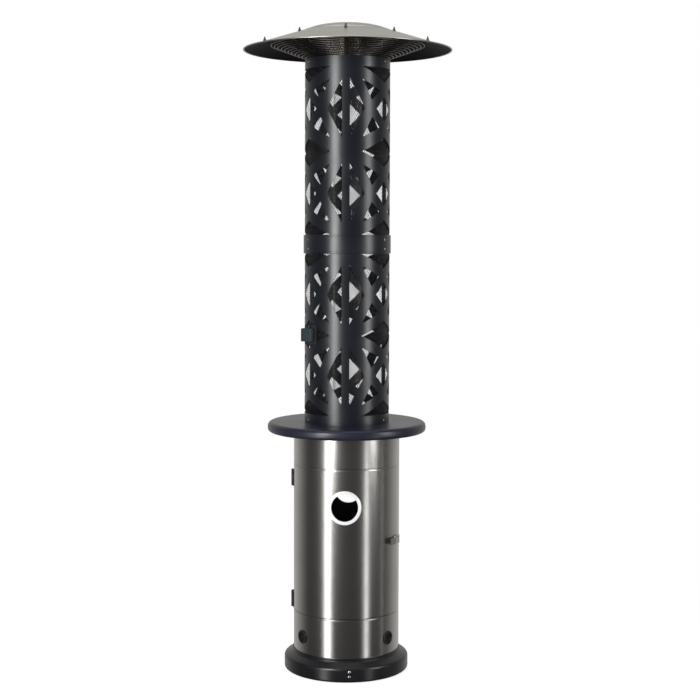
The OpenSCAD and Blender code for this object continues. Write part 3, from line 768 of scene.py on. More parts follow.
@dataclass
class BaseGroup(Assembly):
    """Shouldered black base with its front bolts and feet."""

    frame: dict[str, Any]
    skirt: float = 0.008
    shoulder: float = 0.012
    wall_top: float = 0.042
    sheet: float = 0.002
    bolt_heights: tuple[float, float] = (0.023, 0.039)
    bolt_angle: float = 5.0

    def cover(self) -> bpy.types.Object:
        """Pressed cover: rolled foot, upright wall, shoulder, sloped top and a beaded collar."""
        span, body = Span.of("base_cover"), Span.of("body_shell")
        outer, inner = span.radius, body.radius
        foot = span.low.z + self.skirt
        rim = arc(outer - self.skirt, foot, self.skirt, -80, 0)
        rim += arc(outer - self.shoulder, self.wall_top, self.shoulder, 0, 60, 8)
        rim += [(inner + 0.0075, 0.0625), (inner + 0.0058, 0.0642)]
        rim += arc(inner + 0.0034, 0.0668, 0.0022, -10, 90, 4)
        rim += [(inner + 0.0022, 0.0695), (inner + 0.0022, span.high.z - 0.001),
                (inner + 0.0017, span.high.z), (inner + 0.001, span.high.z)]
        under = [(inner + 0.001, 0.062), (0.150, 0.062), (0.150, 0.060), (inner + 0.0084, 0.060)]
        under += arc(outer - self.shoulder, self.wall_top, self.shoulder - self.sheet, 60, 0, 8)
        under += arc(outer - self.skirt, foot, self.skirt - self.sheet, 0, -80)
        return Bench.smooth(Bench.spun("base_shell", rim + under, 216))

    def build(self) -> None:
        """Build, dress and fasten the base."""
        self.fit(self.cover(), Finish.BASE, "base_black", instead_of=["base_cover"])
        wall = Span.of("base_cover").radius
        places = [outward(side + self.bolt_angle, wall, z) for side in (0, 180) for z in self.bolt_heights]
        bolts = BASE_BOLT.group("base_screws", places)
        self.fit(bolts, Finish.FASTENER, "fastener", instead_of=["base_bolts"])
        self.dress({"base_pan": Finish.DARK_STEEL, "base_weight": Finish.IRON, "base_feet": Finish.RUBBER})


# A pressed groove as (distance from its middle in bead widths, share of its depth).
GROOVE = ((-2.2, 0), (-1.6, 0), (-0.8, 0.75), (0, 1.0), (0.8, 0.75), (1.6, 0), (2.2, 0))
# The slots of a vent plug as (height on the plug, length).
VENT_SLOTS = ((-0.010, 0.014), (-0.005, 0.023), (0.0, 0.026), (0.005, 0.023), (0.010, 0.014))


@dataclass
class Housing(Assembly):
    """Brushed steel housing for the bottle, with vents, holes and their trim rings."""

    frame: dict[str, Any]
    sheet: float = 0.0012
    bead: float = 0.0009
    bead_depth: float = 0.0008
    bead_gap: float = 0.0045
    hole: float = 0.046
    hole_height: float = 0.580
    vent: float = 0.020
    vent_height: float = 0.129
    vent_angles: tuple[float, ...] = (-53.0, 53.0, 127.0, -127.0)
    gap_angle: float = 0.35
    door_edge: float = 70.0
    clear: float = 0.02
    trim_radius: float = 0.0565
    trim_rise: float = 0.002

    def __post_init__(self) -> None:
        """Read the housing's and the door's sizes from the frame."""
        self.span = Span.of("body_shell")
        self.door = Span.of("door_panel")
        self.radius = self.span.radius
        self.edge = self.door_edge - self.gap_angle

    def beads(self) -> list[Point]:
        """Outer line of the housing, with pressed grooves level with the door's edges."""
        line = [(self.radius, self.span.low.z)]
        for height in (self.door.low.z - self.bead_gap, self.door.high.z + self.bead_gap):
            line += [(self.radius - self.bead_depth * depth, height + shift * self.bead)
                     for shift, depth in GROOVE]
        return line + [(self.radius, self.span.high.z)]

    def drill(self, name: str, radius: float, angle: float, height: float,
              sides: int) -> bpy.types.Object:
        """Solid for a round hole through the sheet."""
        place = outward(angle, self.radius - self.clear / 2, height)
        return Bench.rod(name, radius, self.clear, place, sides)

    def shell(self) -> bpy.types.Object:
        """Rolled sheet with the door opening, the vents, the rear hole and the control opening."""
        inner = self.radius - self.sheet
        profile = self.beads() + [(inner, self.span.high.z), (inner, self.span.low.z)]
        shell = Bench.spun("housing_shell", profile, 288)
        low, high = self.door.low.z - MM, self.door.high.z + MM
        wide = section(inner - self.clear, self.radius + self.clear, low, high)
        opening = Bench.spun("opening", wide, 160, -90.0, self.edge + self.gap_angle + 90.0)
        vents = [self.drill("vent", self.vent, a, self.vent_height, 64) for a in self.vent_angles]
        rear = self.drill("rear", self.hole, 180, self.hole_height, 96)
        panel = Span.of("control_panel")
        width, height = panel.high.x - panel.low.x + 0.004, panel.high.z - panel.low.z + 0.004
        middle = (panel.high.z + panel.low.z) / 2
        slot = Bench.plate("slot", rounded(width, height, 0.009), 0.05,
                           outward(180, self.radius - 0.03, middle))
        return Bench.smooth(Bench.cut(shell, opening, rear, slot, *vents))

    def ring(self, name: str, angle: float) -> bpy.types.Object:
        """Polished trim ring with a rounded section, bent to the housing; its near-white colour is a painted
        highlight.
        """
        outer, rise = self.trim_radius, self.trim_rise
        profile = [(self.hole - 0.0006, -self.sheet - 0.0008), (self.hole - 0.0006, rise * 0.6)]
        profile += [(self.hole + 0.0006, rise), (self.hole + 0.0045, rise), (outer - 0.0012, rise * 0.7)]
        profile += [(outer, 0.0), (self.hole + 0.0002, 0.0), (self.hole + 0.0002, -self.sheet - 0.0008)]
        ring = Bench.spun(name, profile, 128)
        return Bench.smooth(wrapped(ring, self.radius, angle, self.hole_height), TRIM_SMOOTH_ANGLE)

    def vents(self) -> bpy.types.Object:
        """Round black plugs with a raised lip, a recess and a slotted middle."""
        lip = self.vent + 0.003
        profile = [(0, -0.004), (self.vent - 0.0002, -0.004), (self.vent - 0.0002, 0.0)]
        profile += [(lip, 0.0), (lip, 0.0009)] + arc(lip - 0.0012, 0.0014, 0.0012, 0, 90, 3)
        profile += [(self.vent - 0.003, 0.0026), (self.vent - 0.0042, -0.0016), (0, -0.0016)]
        plug = Bench.spun("vent_plug", profile, 64)
        slots = [Bench.plate("slot", rounded(length, 0.0022, 0.001), 0.01, Matrix.Translation((0, y, -0.006)))
                 for y, length in VENT_SLOTS]
        Bench.smooth(Bench.cut(plug, *slots))
        places = [outward(a, self.radius + 0.0001, self.vent_height) for a in self.vent_angles]
        return Bench.joined("vent_plugs", Bench.copies(plug, places))

    def build(self) -> None:
        """Build, dress and fasten the housing."""
        self.fit(self.shell(), Finish.HOUSING, "housing_steel", instead_of=["body_shell"])
        self.fit(self.ring("rear_trim", 180), Finish.TRIM, "trim_steel", instead_of=["rear_hole_ring"])
        self.fit(self.vents(), Finish.VENT, "vent_plastic", instead_of=["vent_grommets"])
        self.dress({
            "floor_plate": Finish.ZINC, "door_frame": Finish.ZINC, "deck_plate": Finish.ZINC,
            "fixed_hinge_leaves": Finish.DARK_STEEL, "hinge_pins": Finish.DARK_STEEL,
            "latch_keeper": Finish.LATCH})


@dataclass
class Door(Assembly):
    """Curved door with its trim ring, hinge leaves, ribs and draw latch."""

    frame: dict[str, Any]
    housing: Housing

    def skin(self) -> bpy.types.Object:
        """Curved sheet with its top and bottom edges turned in, and the round hole cut through."""
        span = Span.of("door_panel")
        outer = self.housing.radius
        inner = outer - self.housing.sheet
        profile = [(outer, span.low.z + 0.0008), (outer, span.low.z + 0.002), (outer, span.high.z - 0.002)]
        profile += [(outer, span.high.z - 0.0008), (outer - 0.0004, span.high.z)]
        profile += [(inner, span.high.z), (inner, span.low.z), (outer - 0.0004, span.low.z)]
        start = -90 + self.housing.gap_angle
        skin = Bench.spun("door_skin", profile, 256, start, self.housing.edge - start)
        hole = self.housing.drill("hole", self.housing.hole, 0, self.housing.hole_height, 96)
        return Bench.smooth(Bench.cut(skin, hole))

    def build(self) -> None:
        """Build, dress and fasten the door."""
        self.fit(self.skin(), Finish.HOUSING, "housing_steel", "door", ["door_panel"])
        self.fit(self.housing.ring("door_trim", 0), Finish.TRIM, "trim_steel", "door", ["door_hole_ring"])
        self.dress({
            "door_hinge_leaves": Finish.DARK_STEEL, "door_ribs": Finish.ZINC, "latch_base": Finish.LATCH,
            "latch_lever": Finish.LATCH, "latch_bail": Finish.FASTENER})


@dataclass
class Table(Assembly):
    """Round table with a full rounded rim and a hollow underside."""

    frame: dict[str, Any]
    recess: float = 0.022
    bore: float = 0.118
    lap: float = 0.146
    under_round: float = 0.0125
    top_round: float = 0.0145

    def build(self) -> None:
        """Build, dress and fasten the table."""
        span = Span.of("table_top")
        rim, low, high = span.radius, span.low.z, span.high.z
        profile = [(self.lap, low + self.recess), (rim - 0.040, low + self.recess)]
        profile += arc(rim - 0.034, low + 0.003, 0.003, 180, 270, 3)
        profile += arc(rim - self.under_round, low + self.under_round, self.under_round, -90, 0, 8)
        profile += arc(rim - self.top_round, high - self.top_round, self.top_round, 0, 84, 8)
        profile += [(rim - 0.024, high), (0.180, high), (0.1475, high), (self.bore + 0.001, high),
                    (self.bore, high - 0.001), (self.bore, low + self.recess + 0.006),
                    (self.lap, low + self.recess + 0.006)]
        top = Bench.smooth(Bench.spun("table_disc", profile, 256))
        self.fit(top, Finish.TABLE, "table_coat", instead_of=["table_top"])
        self.dress({"table_brackets": Finish.DARK_STEEL, "table_screws": Finish.FASTENER})


class Half(Enum):
    """The two sections of the column."""

    LOWER = "lower"
    UPPER = "upper"


@dataclass
class Sleeve:
    """One cut-out section of the column: three lenses in each row, with knots between them."""

    half: Half
    sheet: float = 0.0015
    bar: float = 0.013
    lens_width: float = 0.0646
    lens_height: float = 0.098
    knot_width: float = 0.098
    knot_height: float = 0.048
    small: float = 0.040
    border: float = 0.001

    def __post_init__(self) -> None:
        """Read the section's place from the frame, and set the heights of its rows."""
        span, band = Span.of(f"{self.half.value}_sleeve"), Span.of("joint_band")
        self.radius, self.low, self.high = span.radius, span.low.z, span.high.z
        if self.half is Half.LOWER:
            self.lenses, self.knot = (1.013, 1.284), 1.148
            self.half_knots = ((self.low + 0.032, 1), (band.low.z - self.border, -1))
        else:
            self.lenses, self.knot = (1.620, 1.900), 1.758
            self.half_knots = ((band.high.z + self.border, 1), (self.high - 0.035, -1))

    def hole(self, outline: Sequence[Point], height: float) -> bpy.types.Object:
        """Solid for one hole, from [distance round the sleeve, height], cut straight through its middle."""
        along = [p[0] for p in outline]
        middle = (min(along) + max(along)) / 2
        flat = [(self.radius * math.sin((x - middle) / self.radius), y) for x, y in outline]
        reach = max(abs(x - middle) for x in along) / self.radius
        depth = self.radius * (1.0 - math.cos(reach)) + self.sheet + 0.005
        place = outward(math.degrees(middle / self.radius), self.radius - depth, height)
        return Bench.plate("hole", flat, depth + 0.005, place)

    def diamond(self, width: float, rise: float, height: float, low: bool = True,
                high: bool = True) -> bpy.types.Object:
        """Solid for a diamond, or half of one, midway between two lenses."""
        middle = self.radius * math.pi / 3
        outline = [(middle + width, 0.0)] + ([(middle, rise)] if high else []) + [(middle - width, 0.0)]
        return self.hole(outline + ([(middle, -rise)] if low else []), height)

    def lens(self, height: float) -> list[bpy.types.Object]:
        """Solids for a lens, the four wedges round it and the small diamond beside it."""
        slot = [(self.bar, -self.lens_height), (self.lens_width, 0.0), (self.bar, self.lens_height)]
        wedge = [(0.0548, 0.096), (0.1253, 0.061), (0.0914, 0.0275)]
        solids = [self.diamond(self.small, self.small, height)]
        for side in (-1, 1):
            solids.append(self.hole([(x * side, y) for x, y in slot], height))
            solids += [self.hole([(x * side, y * up) for x, y in wedge], height) for up in (-1, 1)]
        return solids

    def build(self) -> bpy.types.Object:
        """Cut the pattern out of a tube."""
        inner = self.radius - self.sheet
        profile = [(self.radius, self.low), (self.radius, self.high), (inner, self.high), (inner, self.low)]
        tube = Bench.spun(f"{self.half.value}_cutout", profile, 240)
        third = [solid for height in self.lenses for solid in self.lens(height)]
        third.append(self.diamond(self.knot_width, self.knot_height, self.knot))
        third += [self.diamond(self.knot_width, self.knot_height, z, low=up < 0, high=up > 0)
                  for z, up in self.half_knots]
        group = Bench.joined("holes", third)
        return Bench.smooth(Bench.cut(tube, *Bench.copies(group, [turned(a) for a in (0, 120, 240)])))


@dataclass
class WireMesh:
    """Fine black mesh behind a sleeve: wires that wind both ways up the column."""

    half: Half
    wire: float = 0.0011
    columns: int = 118
    rise: float = 1.667

    def build(self) -> bpy.types.Object:
        """Wind one wire each way, and repeat it round the column."""
        span = Span.of(f"{self.half.value}_mesh")
        radius, low, high = span.radius - self.wire * 0.5, span.low.z + self.wire, span.high.z - self.wire
        turn = (high - low) / self.rise / radius
        steps = max(8, round(math.degrees(turn) / 4.0))
        layers = []
        for way in (1, -1):
            Bench.clear()
            bpy.ops.mesh.primitive_circle_add(vertices=4, radius=self.wire * 0.5, fill_type="NOTHING")
            wire = Bench.placed(Bench.named("wire"), outward(0, radius - self.wire * 0.25 * way, low))
            Bench.modified(wire, "SCREW", angle=way * turn, screw_offset=high - low, steps=steps,
                           render_steps=steps, use_smooth_shade=True)
            Bench.clear()
            bpy.ops.object.empty_add(rotation=(0, 0, 2 * math.pi / self.columns))
            pitch = bpy.context.object
            Bench.modified(wire, "ARRAY", count=self.columns, use_relative_offset=False,
                           use_object_offset=True, offset_object=pitch)
            bpy.data.objects.remove(pitch)
            layers.append(wire)
        mesh = Bench.joined(f"{self.half.value}_wire_mesh", layers)
        bpy.ops.object.mode_set(mode="EDIT")
        bpy.ops.mesh.select_all(action="SELECT")
        bpy.ops.mesh.normals_make_consistent(inside=False)
        bpy.ops.object.mode_set(mode="OBJECT")
        return mesh


@dataclass
class Column(Assembly):
    """Cut-out column with its mesh, band, glass, switch box and small screws."""

    frame: dict[str, Any]
    box_angle: float = -30.0
    box_side: float = -0.061
    box_back: float = 0.141
    flange_angle: float = -46.25
    plate_depth: float = 0.0012
    glass_wall: float = 0.003
    screw_angles: tuple[float, ...] = (-62.0, 62.0, 180.0)
    band_angles: tuple[float, ...] = (60.0, 180.0, 300.0)

    def band(self) -> bpy.types.Object:
        """Plain band over the joint, with eased edges and a fine line pressed in near each one."""
        span, inner = Span.of("joint_band"), Span.of("lower_sleeve").radius
        outer, low, high = span.radius, span.low.z, span.high.z
        profile = [(inner, low), (outer - 0.0012, low)] + arc(outer - 0.0012, low + 0.0012, 0.0012, -90, 0, 3)
        profile += [(outer, low + 0.006), (outer - 0.0005, low + 0.0067), (outer, low + 0.0074)]
        profile += [(outer, high - 0.0074), (outer - 0.0005, high - 0.0067), (outer, high - 0.006)]
        profile += arc(outer - 0.0012, high - 0.0012, 0.0012, 0, 90, 3) + [(inner, high)]
        return Bench.smooth(Bench.spun("column_band", profile, 240), TRIM_SMOOTH_ANGLE)

    def glass(self) -> bpy.types.Object:
        """Glass tube with fire-polished ends."""
        span = Span.of("glass_tube")
        low, high, half = span.low.z, span.high.z, self.glass_wall / 2
        middle = span.radius - half
        profile = arc(middle, low + half, half, 180, 360, 6) + arc(middle, high - half, half, 0, 180, 6)
        return Bench.smooth(Bench.spun("flame_tube", profile, 128))

    def switch_box(self) -> list[bpy.types.Object]:
        """Switch box with a framed window and a lid line, and the bent plate that carries it."""
        span, sleeve = Span.of("tilt_switch_box"), Span.of("lower_sleeve").radius
        height = (span.low.z + span.high.z) / 2
        seat = outward(self.box_angle, self.box_back, height) @ Matrix.Translation((self.box_side, 0, 0))
        case = Bench.plate("switch_case", rounded(0.042, 0.045, 0.004), 0.0135, seat)
        Bench.eased(case, 0.0008)
        lid = Bench.plate("switch_lid", rounded(0.041, 0.044, 0.0035), 0.0066,
                          seat @ Matrix.Translation((0, 0, 0.0134)))
        Bench.eased(lid, 0.0010, 3)
        window = Bench.plate("window", rounded(0.031, 0.030, 0.002), 0.004,
                             seat @ Matrix.Translation((0, -0.001, 0.0188)))
        Bench.smooth(Bench.cut(lid, window))
        glands = [Bench.rod("gland", 0.0032, 0.007, seat @ Matrix.Translation((x, 0.0215, 0.007))
                            @ Matrix.Rotation(-math.pi / 2, 4, "X"), 24) for x in (-0.006, 0.003)]
        box = Bench.joined("switch_box", [case, lid, *[Bench.eased(gland, 0.0006) for gland in glands]])
        flat = Bench.plate("switch_plate", rounded(0.046, 0.066, 0.004), self.plate_depth,
                           seat @ Matrix.Translation((0.005, 0, -self.plate_depth)))
        core = Bench.rod("core", sleeve, 0.1, Matrix.Translation((0, 0, height - 0.05)), 240)
        flange = Bench.plate("flange", rounded(0.0238, 0.066, 0.003), self.plate_depth, Matrix.Identity(4))
        hole = [Bench.rod("slot", 0.0016, 0.01, Matrix.Translation((0, y, -0.004)), 24)
                for y in (-0.029, 0.029)]
        self.divide(Bench.cut(flange, *hole))
        flange = wrapped(flange, sleeve, self.flange_angle, height)
        plate = Bench.joined("switch_bracket", [Bench.smooth(Bench.cut(flat, core)), Bench.smooth(flange)])
        return [box, plate]

    @staticmethod
    def divide(flat: bpy.types.Object, strips: int = 12) -> None:
        """Cut a flat piece into strips, so that it bends smoothly."""
        Bench.pick(flat)
        xs = [v.co.x for v in flat.data.vertices]
        bpy.ops.object.mode_set(mode="EDIT")
        for i in range(1, strips):
            bpy.ops.mesh.select_all(action="SELECT")
            x = min(xs) + (max(xs) - min(xs)) * i / strips
            bpy.ops.mesh.bisect(plane_co=(x, 0, 0), plane_no=(1, 0, 0))
        bpy.ops.object.mode_set(mode="OBJECT")

    def screws(self) -> None:
        """Small domed screws in the band and at the ends of the column."""
        band, sleeve = Span.of("joint_band"), Span.of("upper_sleeve")
        middle = (band.low.z + band.high.z) / 2
        places = [outward(a, band.radius, middle + z) for a in self.band_angles for z in (-0.0155, 0.0155)]
        group = BAND_SCREW.group("band_fixings", places)
        self.fit(group, Finish.FASTENER, "fastener", instead_of=["band_screws"])
        heights = (Span.of("lower_sleeve").low.z + 0.012, sleeve.high.z - 0.012)
        places = [outward(a, sleeve.radius, z) for a in self.screw_angles for z in heights]
        group = SLEEVE_SCREW.group("column_fixings", places)
        self.fit(group, Finish.FASTENER, "fastener", instead_of=["sleeve_screws"])

    def build(self) -> None:
        """Build, dress and fasten the column."""
        for half in Half:
            self.fit(Sleeve(half).build(), Finish.SLEEVE, "sleeve_coat", instead_of=[f"{half.value}_sleeve"])
            self.fit(WireMesh(half).build(), Finish.MESH, "mesh_black", instead_of=[f"{half.value}_mesh"])
        self.fit(self.band(), Finish.SLEEVE, "sleeve_coat", instead_of=["joint_band"])
        self.fit(self.glass(), Finish.GLASS, "flame_glass", instead_of=["glass_tube"])
        box, plate = self.switch_box()
        self.fit(box, Finish.SWITCH, "switch_plastic", instead_of=["tilt_switch_box"])
        self.fit(plate, Finish.DARK_STEEL, "dark_steel", instead_of=["tilt_switch_bracket"])
        self.screws()
        self.dress({"top_plate": Finish.SLEEVE, "glass_seat": Finish.BURNER, "glass_top_ring": Finish.BURNER})


@dataclass
class Head(Assembly):
    """Reflector, perforated drum and wire guard."""

    frame: dict[str, Any]
    sheet: float = 0.001
    cap_radius: float = 0.150
    cap_height: float = 2.168
    bead: float = 0.002
    dome: float = 2.9
    wire: float = 0.0016
    ring_count: int = 11
    first_ring: float = 0.143
    wire_start: float = 0.140
    drum_columns: int = 40
    drum_rows: int = 10
    drum_wall: float = 0.001
    hoop_height: float = 0.003
    stay_radius: float = 0.181
    guard_radius: float = 0.308
    stay_angles: tuple[float, ...] = (0, 60, 120, 180, 240, 300)
    guard_angles: tuple[float, ...] = (60, 180, 300)
    spokes: tuple[float, ...] = tuple(range(15, 360, 30))

    def __post_init__(self) -> None:
        """Read the sizes of the reflector and the guard from the frame."""
        span, self.guard = Span.of("reflector"), Span.of("guard_rings")
        self.radius, self.top = span.radius, span.high.z
        self.rim = span.low.z + self.bead
        self.slope = (self.cap_height - self.rim) / (self.radius - self.bead - self.cap_radius)

    def surface(self, radius: float) -> float:
        """Height of the reflector's upper face on its cone."""
        return self.rim + (self.radius - self.bead - radius) * self.slope

    def skin(self) -> list[Point]:
        """Upper face from the middle to the rim: flattened dome, a fine step and a cone."""
        rise = self.top - self.cap_height
        shares = [i / 14 for i in range(14)]
        line = [(self.cap_radius * share, self.top - rise * share ** self.dome) for share in shares]
        line += [(self.cap_radius - 0.002, self.cap_height + 0.0016), (self.cap_radius, self.cap_height),
                 (self.cap_radius + 0.0022, self.cap_height - 0.0020),
                 (self.cap_radius + 0.006, self.surface(self.cap_radius + 0.006))]
        line += [(r, self.surface(r)) for r in (0.190, 0.240, 0.290, 0.330)]
        return line + [(self.radius - 2.4 * self.bead, self.surface(self.radius - 2.4 * self.bead))]

    def dish(self) -> bpy.types.Object:
        """Spun sheet with a rolled rim."""
        upper = self.skin()
        roll = arc(self.radius - self.bead, self.rim, self.bead, 110, -160, 9)
        lower = [(x, y - self.sheet * 0.6) for x, y in reversed(upper)]
        return Bench.smooth(Bench.spun("reflector_dish", upper + roll + lower, 240))

    def shade_underside(self) -> bpy.types.Object:
        """Near-black sheet under the dish: a painted shade and a painted dark reflection of the floor."""
        upper = [(x, y - self.sheet * 0.65) for x, y in self.skin()]
        lower = [(x, y - self.sheet * 0.35) for x, y in reversed(upper)]
        return Bench.smooth(Bench.spun("reflector_painted_shade", upper + lower, 240))

    def drum(self) -> bpy.types.Object:
        """Perforated drum: one small square with a round hole, repeated and rolled up."""
        span = Span.of("flame_drum")
        wall, margin = self.drum_wall, self.hoop_height
        pitch = 2 * math.pi * span.radius / self.drum_columns
        rise = (span.high.z - span.low.z - 2 * margin) / self.drum_rows
        Bench.clear()
        bpy.ops.mesh.primitive_circle_add(vertices=16, radius=pitch * 0.30, fill_type="NOTHING",
                                          rotation=(0, 0, math.pi / 16))
        cell = Bench.named("drum")
        bpy.ops.object.transform_apply(location=False, rotation=True, scale=True)
        bpy.ops.object.mode_set(mode="EDIT")
        bpy.ops.mesh.select_all(action="SELECT")
        bpy.ops.mesh.extrude_edges_move()
        bpy.ops.transform.resize(value=(1.6, 1.6, 1))
        bpy.ops.object.mode_set(mode="OBJECT")
        for vertex in cell.data.vertices:
            if vertex.co.length > pitch * 0.4:
                reach = max(abs(vertex.co.x), abs(vertex.co.y))
                vertex.co = (vertex.co.x / reach * pitch / 2, vertex.co.y / reach * rise / 2, 0)
        for count, offset in ((self.drum_columns, (pitch, 0, 0)), (self.drum_rows, (0, rise, 0))):
            Bench.modified(cell, "ARRAY", count=count, use_relative_offset=False, use_constant_offset=True,
                           constant_offset_displace=offset, use_merge_vertices=True, merge_threshold=1e-5)
        rolled = wrapped(cell, span.radius - wall, 0, span.low.z + margin + rise / 2)
        bpy.ops.object.mode_set(mode="EDIT")
        bpy.ops.mesh.select_all(action="SELECT")
        bpy.ops.mesh.remove_doubles(threshold=2e-5)
        bpy.ops.mesh.normals_make_consistent(inside=False)
        bpy.ops.object.mode_set(mode="OBJECT")
        Bench.modified(rolled, "SOLIDIFY", thickness=wall, offset=1.0)
        Bench.smooth(rolled)
        hoops = []
        for low in (span.low.z, span.high.z - margin):
            profile = section(span.radius - 0.0016, span.radius, low, low + margin)
            hoops.append(Bench.smooth(Bench.spun("hoop", profile, 96)))
        return Bench.joined("flame_drum_shell", [rolled, *hoops])

    def rings(self) -> bpy.types.Object:
        """Concentric rings of the guard, each with a butt-welded joint at the back."""
        low, high = self.guard.low.z + self.wire, self.guard.high.z - self.wire
        last = self.guard.radius - self.wire
        rings = []
        for index in range(self.ring_count):
            share = index / (self.ring_count - 1)
            radius = self.first_ring + (last - self.first_ring) * share
            height = low + (high - low) * share
            Bench.clear()
            bpy.ops.mesh.primitive_torus_add(
                location=(0, 0, height), major_radius=radius, minor_radius=self.wire,
                major_segments=144, minor_segments=10)
            ring = Bench.named("ring")
            bpy.ops.object.transform_apply(location=True, rotation=True, scale=True)
            Bench.clear()
            bpy.ops.mesh.primitive_uv_sphere_add(segments=12, ring_count=8, radius=self.wire * 1.5,
                                                 location=(0, radius, height))
            weld = Bench.named("weld")
            bpy.ops.object.transform_apply(location=True, rotation=True, scale=True)
            rings += [Bench.smooth(ring), Bench.smooth(weld)]
        return Bench.joined("guard_hoops", rings)

    def radial_wires(self) -> bpy.types.Object:
        """Straight wires laid across the rings, with round ends."""
        span = Span.of("guard_spokes")
        run = self.guard.radius - self.wire - self.first_ring
        rise = self.guard.high.z - self.guard.low.z - 2 * self.wire
        tilt = math.atan2(rise, run)
        length = math.hypot(run, rise) + 0.006
        wire = Bench.rod("spoke", self.wire, length, Matrix.Identity(4), 16)
        Bench.eased(wire, self.wire * 0.6, 3)
        lift = Matrix.Translation((0, -self.wire_start, span.low.z + 0.0004))
        lift = lift @ Matrix.Rotation(math.pi / 2 - tilt, 4, "X")
        places = [turned(a) @ lift @ Matrix.Translation((0, 2 * self.wire, 0)) for a in self.spokes]
        return Bench.joined("guard_wires", Bench.copies(wire, places))

    def build(self) -> None:
        """Build, dress and fasten the head."""
        self.fit(self.dish(), Finish.REFLECTOR, "reflector_steel", instead_of=["reflector"])
        # The near-black sheet under the dish is painted shade.
        self.fit(self.shade_underside(), Finish.UNDERSIDE_SHADE, "reflector_steel")
        self.fit(self.drum(), Finish.DRUM, "drum_steel", instead_of=["flame_drum"])
        self.fit(self.rings(), Finish.WIRE, "guard_wire", instead_of=["guard_rings"])
        self.fit(self.radial_wires(), Finish.WIRE, "guard_wire", instead_of=["guard_spokes"])
        circles = ((self.stay_radius, self.stay_angles), (self.guard_radius, self.guard_angles))
        places = [turned(a) @ Matrix.Translation((0, -r, self.surface(r))) for r, angles in circles
                  for a in angles]
        self.fit(Stud.stud_nuts("reflector_studs", places), Finish.STUD, "fastener",
                 instead_of=["reflector_bolts"])
        self.dress({"guard_stays": Finish.WIRE, "reflector_stays": Finish.WIRE})


@dataclass
class Controls(Assembly):
    """Control panel at the back, with its knob, igniter and gas train."""

    frame: dict[str, Any]

    def build(self) -> None:
        """Dress the controls and the burner."""
        self.dress({
            "control_panel": Finish.CONTROL, "control_knob": Finish.CONTROL, "valve_plunger": Finish.BURNER,
            "igniter_button": Finish.BUTTON, "igniter_housing": Finish.CERAMIC, "gas_valve": Finish.BRASS,
            "gas_inlet": Finish.BRASS, "gas_pipe": Finish.COPPER, "burner_venturi": Finish.BRASS,
            "burner_cup": Finish.BURNER, "burner_head": Finish.BURNER, "pilot_tube": Finish.COPPER,
            "thermocouple": Finish.BURNER, "spark_electrode": Finish.CERAMIC})


# ---------------------------------------------------------------- studio


def area_light(name: str, width: float, height: float, energy: float, place: Matrix) -> None:
    """Put a soft rectangular light in the scene.

    Args:
        name: Name of the light.
        width: Its width, in metres.
        height: Its height, in metres.
        energy: Its power, in watts.
        place: Where it goes; it shines along the place's -Z.
    """
    light = bpy.data.lights.new(name, "AREA")
    light.shape = "RECTANGLE"
    light.size, light.size_y, light.energy = width, height, energy
    lamp = bpy.data.objects.new(name, light)
    lamp.matrix_world = place
    bpy.context.collection.objects.link(lamp)


@dataclass(frozen=True)
class SoftBox:
    """Upright soft light that faces the heater.

    Fields: name; angle from the front in degrees; width; lowest and highest point; brightness of its
    face, in watts per square metre; distance from the axis.
    """

    name: str
    angle: float
    width: float
    low: float
    high: float
    glow: float
    distance: float = 3.2

    def light(self) -> None:
        """Put the light in the scene."""
        height = self.high - self.low
        stand = Matrix.Translation((0, -self.distance, (self.low + self.high) / 2))
        place = turned(self.angle) @ stand @ Matrix.Rotation(math.pi / 2, 4, "X")
        area_light(self.name, self.width, height, self.glow * self.width * height, place)


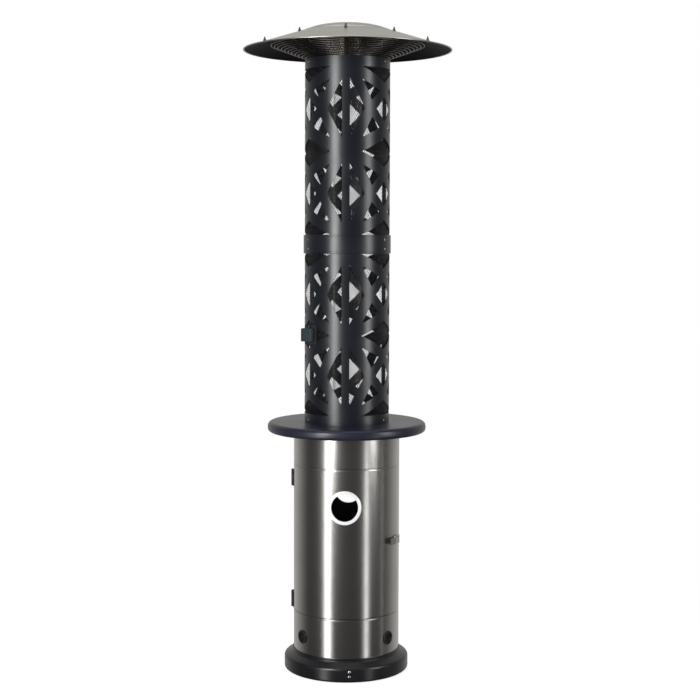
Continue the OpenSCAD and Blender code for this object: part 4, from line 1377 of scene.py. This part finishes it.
@dataclass
class Studio:
    """Pale floor, soft light and the camera."""

    distance: float = 5.0
    eye: float = 1.469
    side: float = 2.0
    focal: float = 2.1000
    shift: float = -0.056
    tilt: float = 2.80
    aside: float = 0.117
    roll: float = 0.16
    sensor: float = 36.0
    floor_reach: float = 1.9
    depth_ramp: tuple[float, ...] = (-0.1, 1.0, 0.06, 0.60)
    height_ramp: tuple[float, ...] = (-0.70, -0.30, 0.06, 1.0)
    ceiling_size: tuple[float, float] = (2.6, 2.2)
    ceiling_power: float = 36.0
    ceiling_at: tuple[float, float, float] = (0, -0.2, 4.4)
    boxes: tuple[SoftBox, ...] = (
        SoftBox("low_left_box", -38.0, 0.70, -1.8, 0.42, 13.0),
        SoftBox("high_left_box", -31.0, 0.85, 0.46, 3.0, 40.0),
        SoftBox("low_right_box", 45.0, 0.42, -1.8, 0.42, 8.0),
        SoftBox("low_side_box", 84.0, 0.12, -1.8, 0.42, 2.5),
        SoftBox("high_right_box", 60.0, 0.80, 0.46, 3.0, 21.0),
    )

    def camera(self) -> None:
        """Camera at eye height, a little to the right, tilted down with a small shift."""
        data = bpy.data.cameras.new("camera")
        data.sensor_width = self.sensor
        data.lens = self.sensor * self.focal
        data.shift_y = self.shift
        place = turned(self.side) @ Matrix.Translation((0, -self.distance, self.eye))
        aim = Matrix.Rotation(math.radians(-self.aside), 4, "Z")
        aim = aim @ Matrix.Rotation(math.radians(90 - self.tilt), 4, "X")
        camera = bpy.data.objects.new("camera", data)
        camera.matrix_world = place @ aim @ Matrix.Rotation(math.radians(self.roll), 4, "Z")
        bpy.context.collection.objects.link(camera)
        bpy.context.scene.camera = camera

    def ceiling(self) -> None:
        """Broad soft light overhead."""
        area_light("ceiling_box", *self.ceiling_size, self.ceiling_power, Matrix.Translation(self.ceiling_at))

    def world(self) -> None:
        """White backdrop, with dim surroundings in front and paler ones behind the heater."""
        world = bpy.data.worlds.new("surroundings")
        world.use_nodes = True
        bpy.context.scene.world = world
        tree = world.node_tree
        dim = tree.nodes["Background"]
        path = tree.nodes.new("ShaderNodeLightPath")
        white = tree.nodes.new("ShaderNodeBackground")
        mix = tree.nodes.new("ShaderNodeMixShader")
        where = tree.nodes.new("ShaderNodeTexCoord")
        parts = tree.nodes.new("ShaderNodeSeparateXYZ")
        dim.inputs["Color"].default_value = (1.0, 0.98, 0.95, 1.0)
        white.inputs["Color"].default_value = (1.0, 1.0, 1.0, 1.0)
        tree.links.new(where.outputs["Generated"], parts.inputs[0])
        both = tree.nodes.new("ShaderNodeMath")
        both.operation = "MULTIPLY"
        for index, (axis, ramp) in enumerate(((1, self.depth_ramp), (2, self.height_ramp))):
            fade = tree.nodes.new("ShaderNodeMapRange")
            fade.interpolation_type = "SMOOTHSTEP"
            for name, value in zip(("From Min", "From Max", "To Min", "To Max"), ramp):
                fade.inputs[name].default_value = value
            tree.links.new(parts.outputs[axis], fade.inputs["Value"])
            tree.links.new(fade.outputs["Result"], both.inputs[index])
        tree.links.new(both.outputs[0], dim.inputs["Strength"])
        tree.links.new(path.outputs["Is Camera Ray"], mix.inputs[0])
        tree.links.new(dim.outputs[0], mix.inputs[1])
        tree.links.new(white.outputs[0], mix.inputs[2])
        tree.links.new(mix.outputs[0], tree.nodes["World Output"].inputs["Surface"])

    def floor(self) -> None:
        """Round pale floor that fades into the backdrop."""
        Bench.clear()
        bpy.ops.mesh.primitive_circle_add(vertices=96, radius=self.floor_reach, fill_type="NGON")
        floor = Bench.named("floor")
        look = Look("pale_floor")
        x, y, _ = look.place()
        near = 1 - (x * x + y * y).root().over(self.floor_reach * 0.62, self.floor_reach * 0.7)
        look.dress(base_color=(0.60, 0.60, 0.60), roughness=0.8, alpha=near,
                   emission_color=(1.0, 1.0, 1.0), emission_strength=0.80)
        floor.data.materials.append(look.material)
        floor.visible_glossy = False

    def build(self) -> None:
        """Set up the whole studio."""
        self.camera()
        self.world()
        self.floor()
        self.ceiling()
        for box in self.boxes:
            box.light()
        bpy.context.scene.view_settings.view_transform = "Standard"


def main() -> None:
    """Build the studio and every sub-assembly round the frame."""
    logging.basicConfig(level=logging.INFO, format="%(name)s: %(message)s")
    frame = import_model()
    Studio().build()
    housing = Housing(frame)
    parts = [BaseGroup(frame), housing, Door(frame, housing), Table(frame), Column(frame), Head(frame),
             Controls(frame)]
    for part in parts:
        LOG.info("building %s", type(part).__name__)
        part.build()
    Bench.clear()


if __name__ == "__main__":
    main()
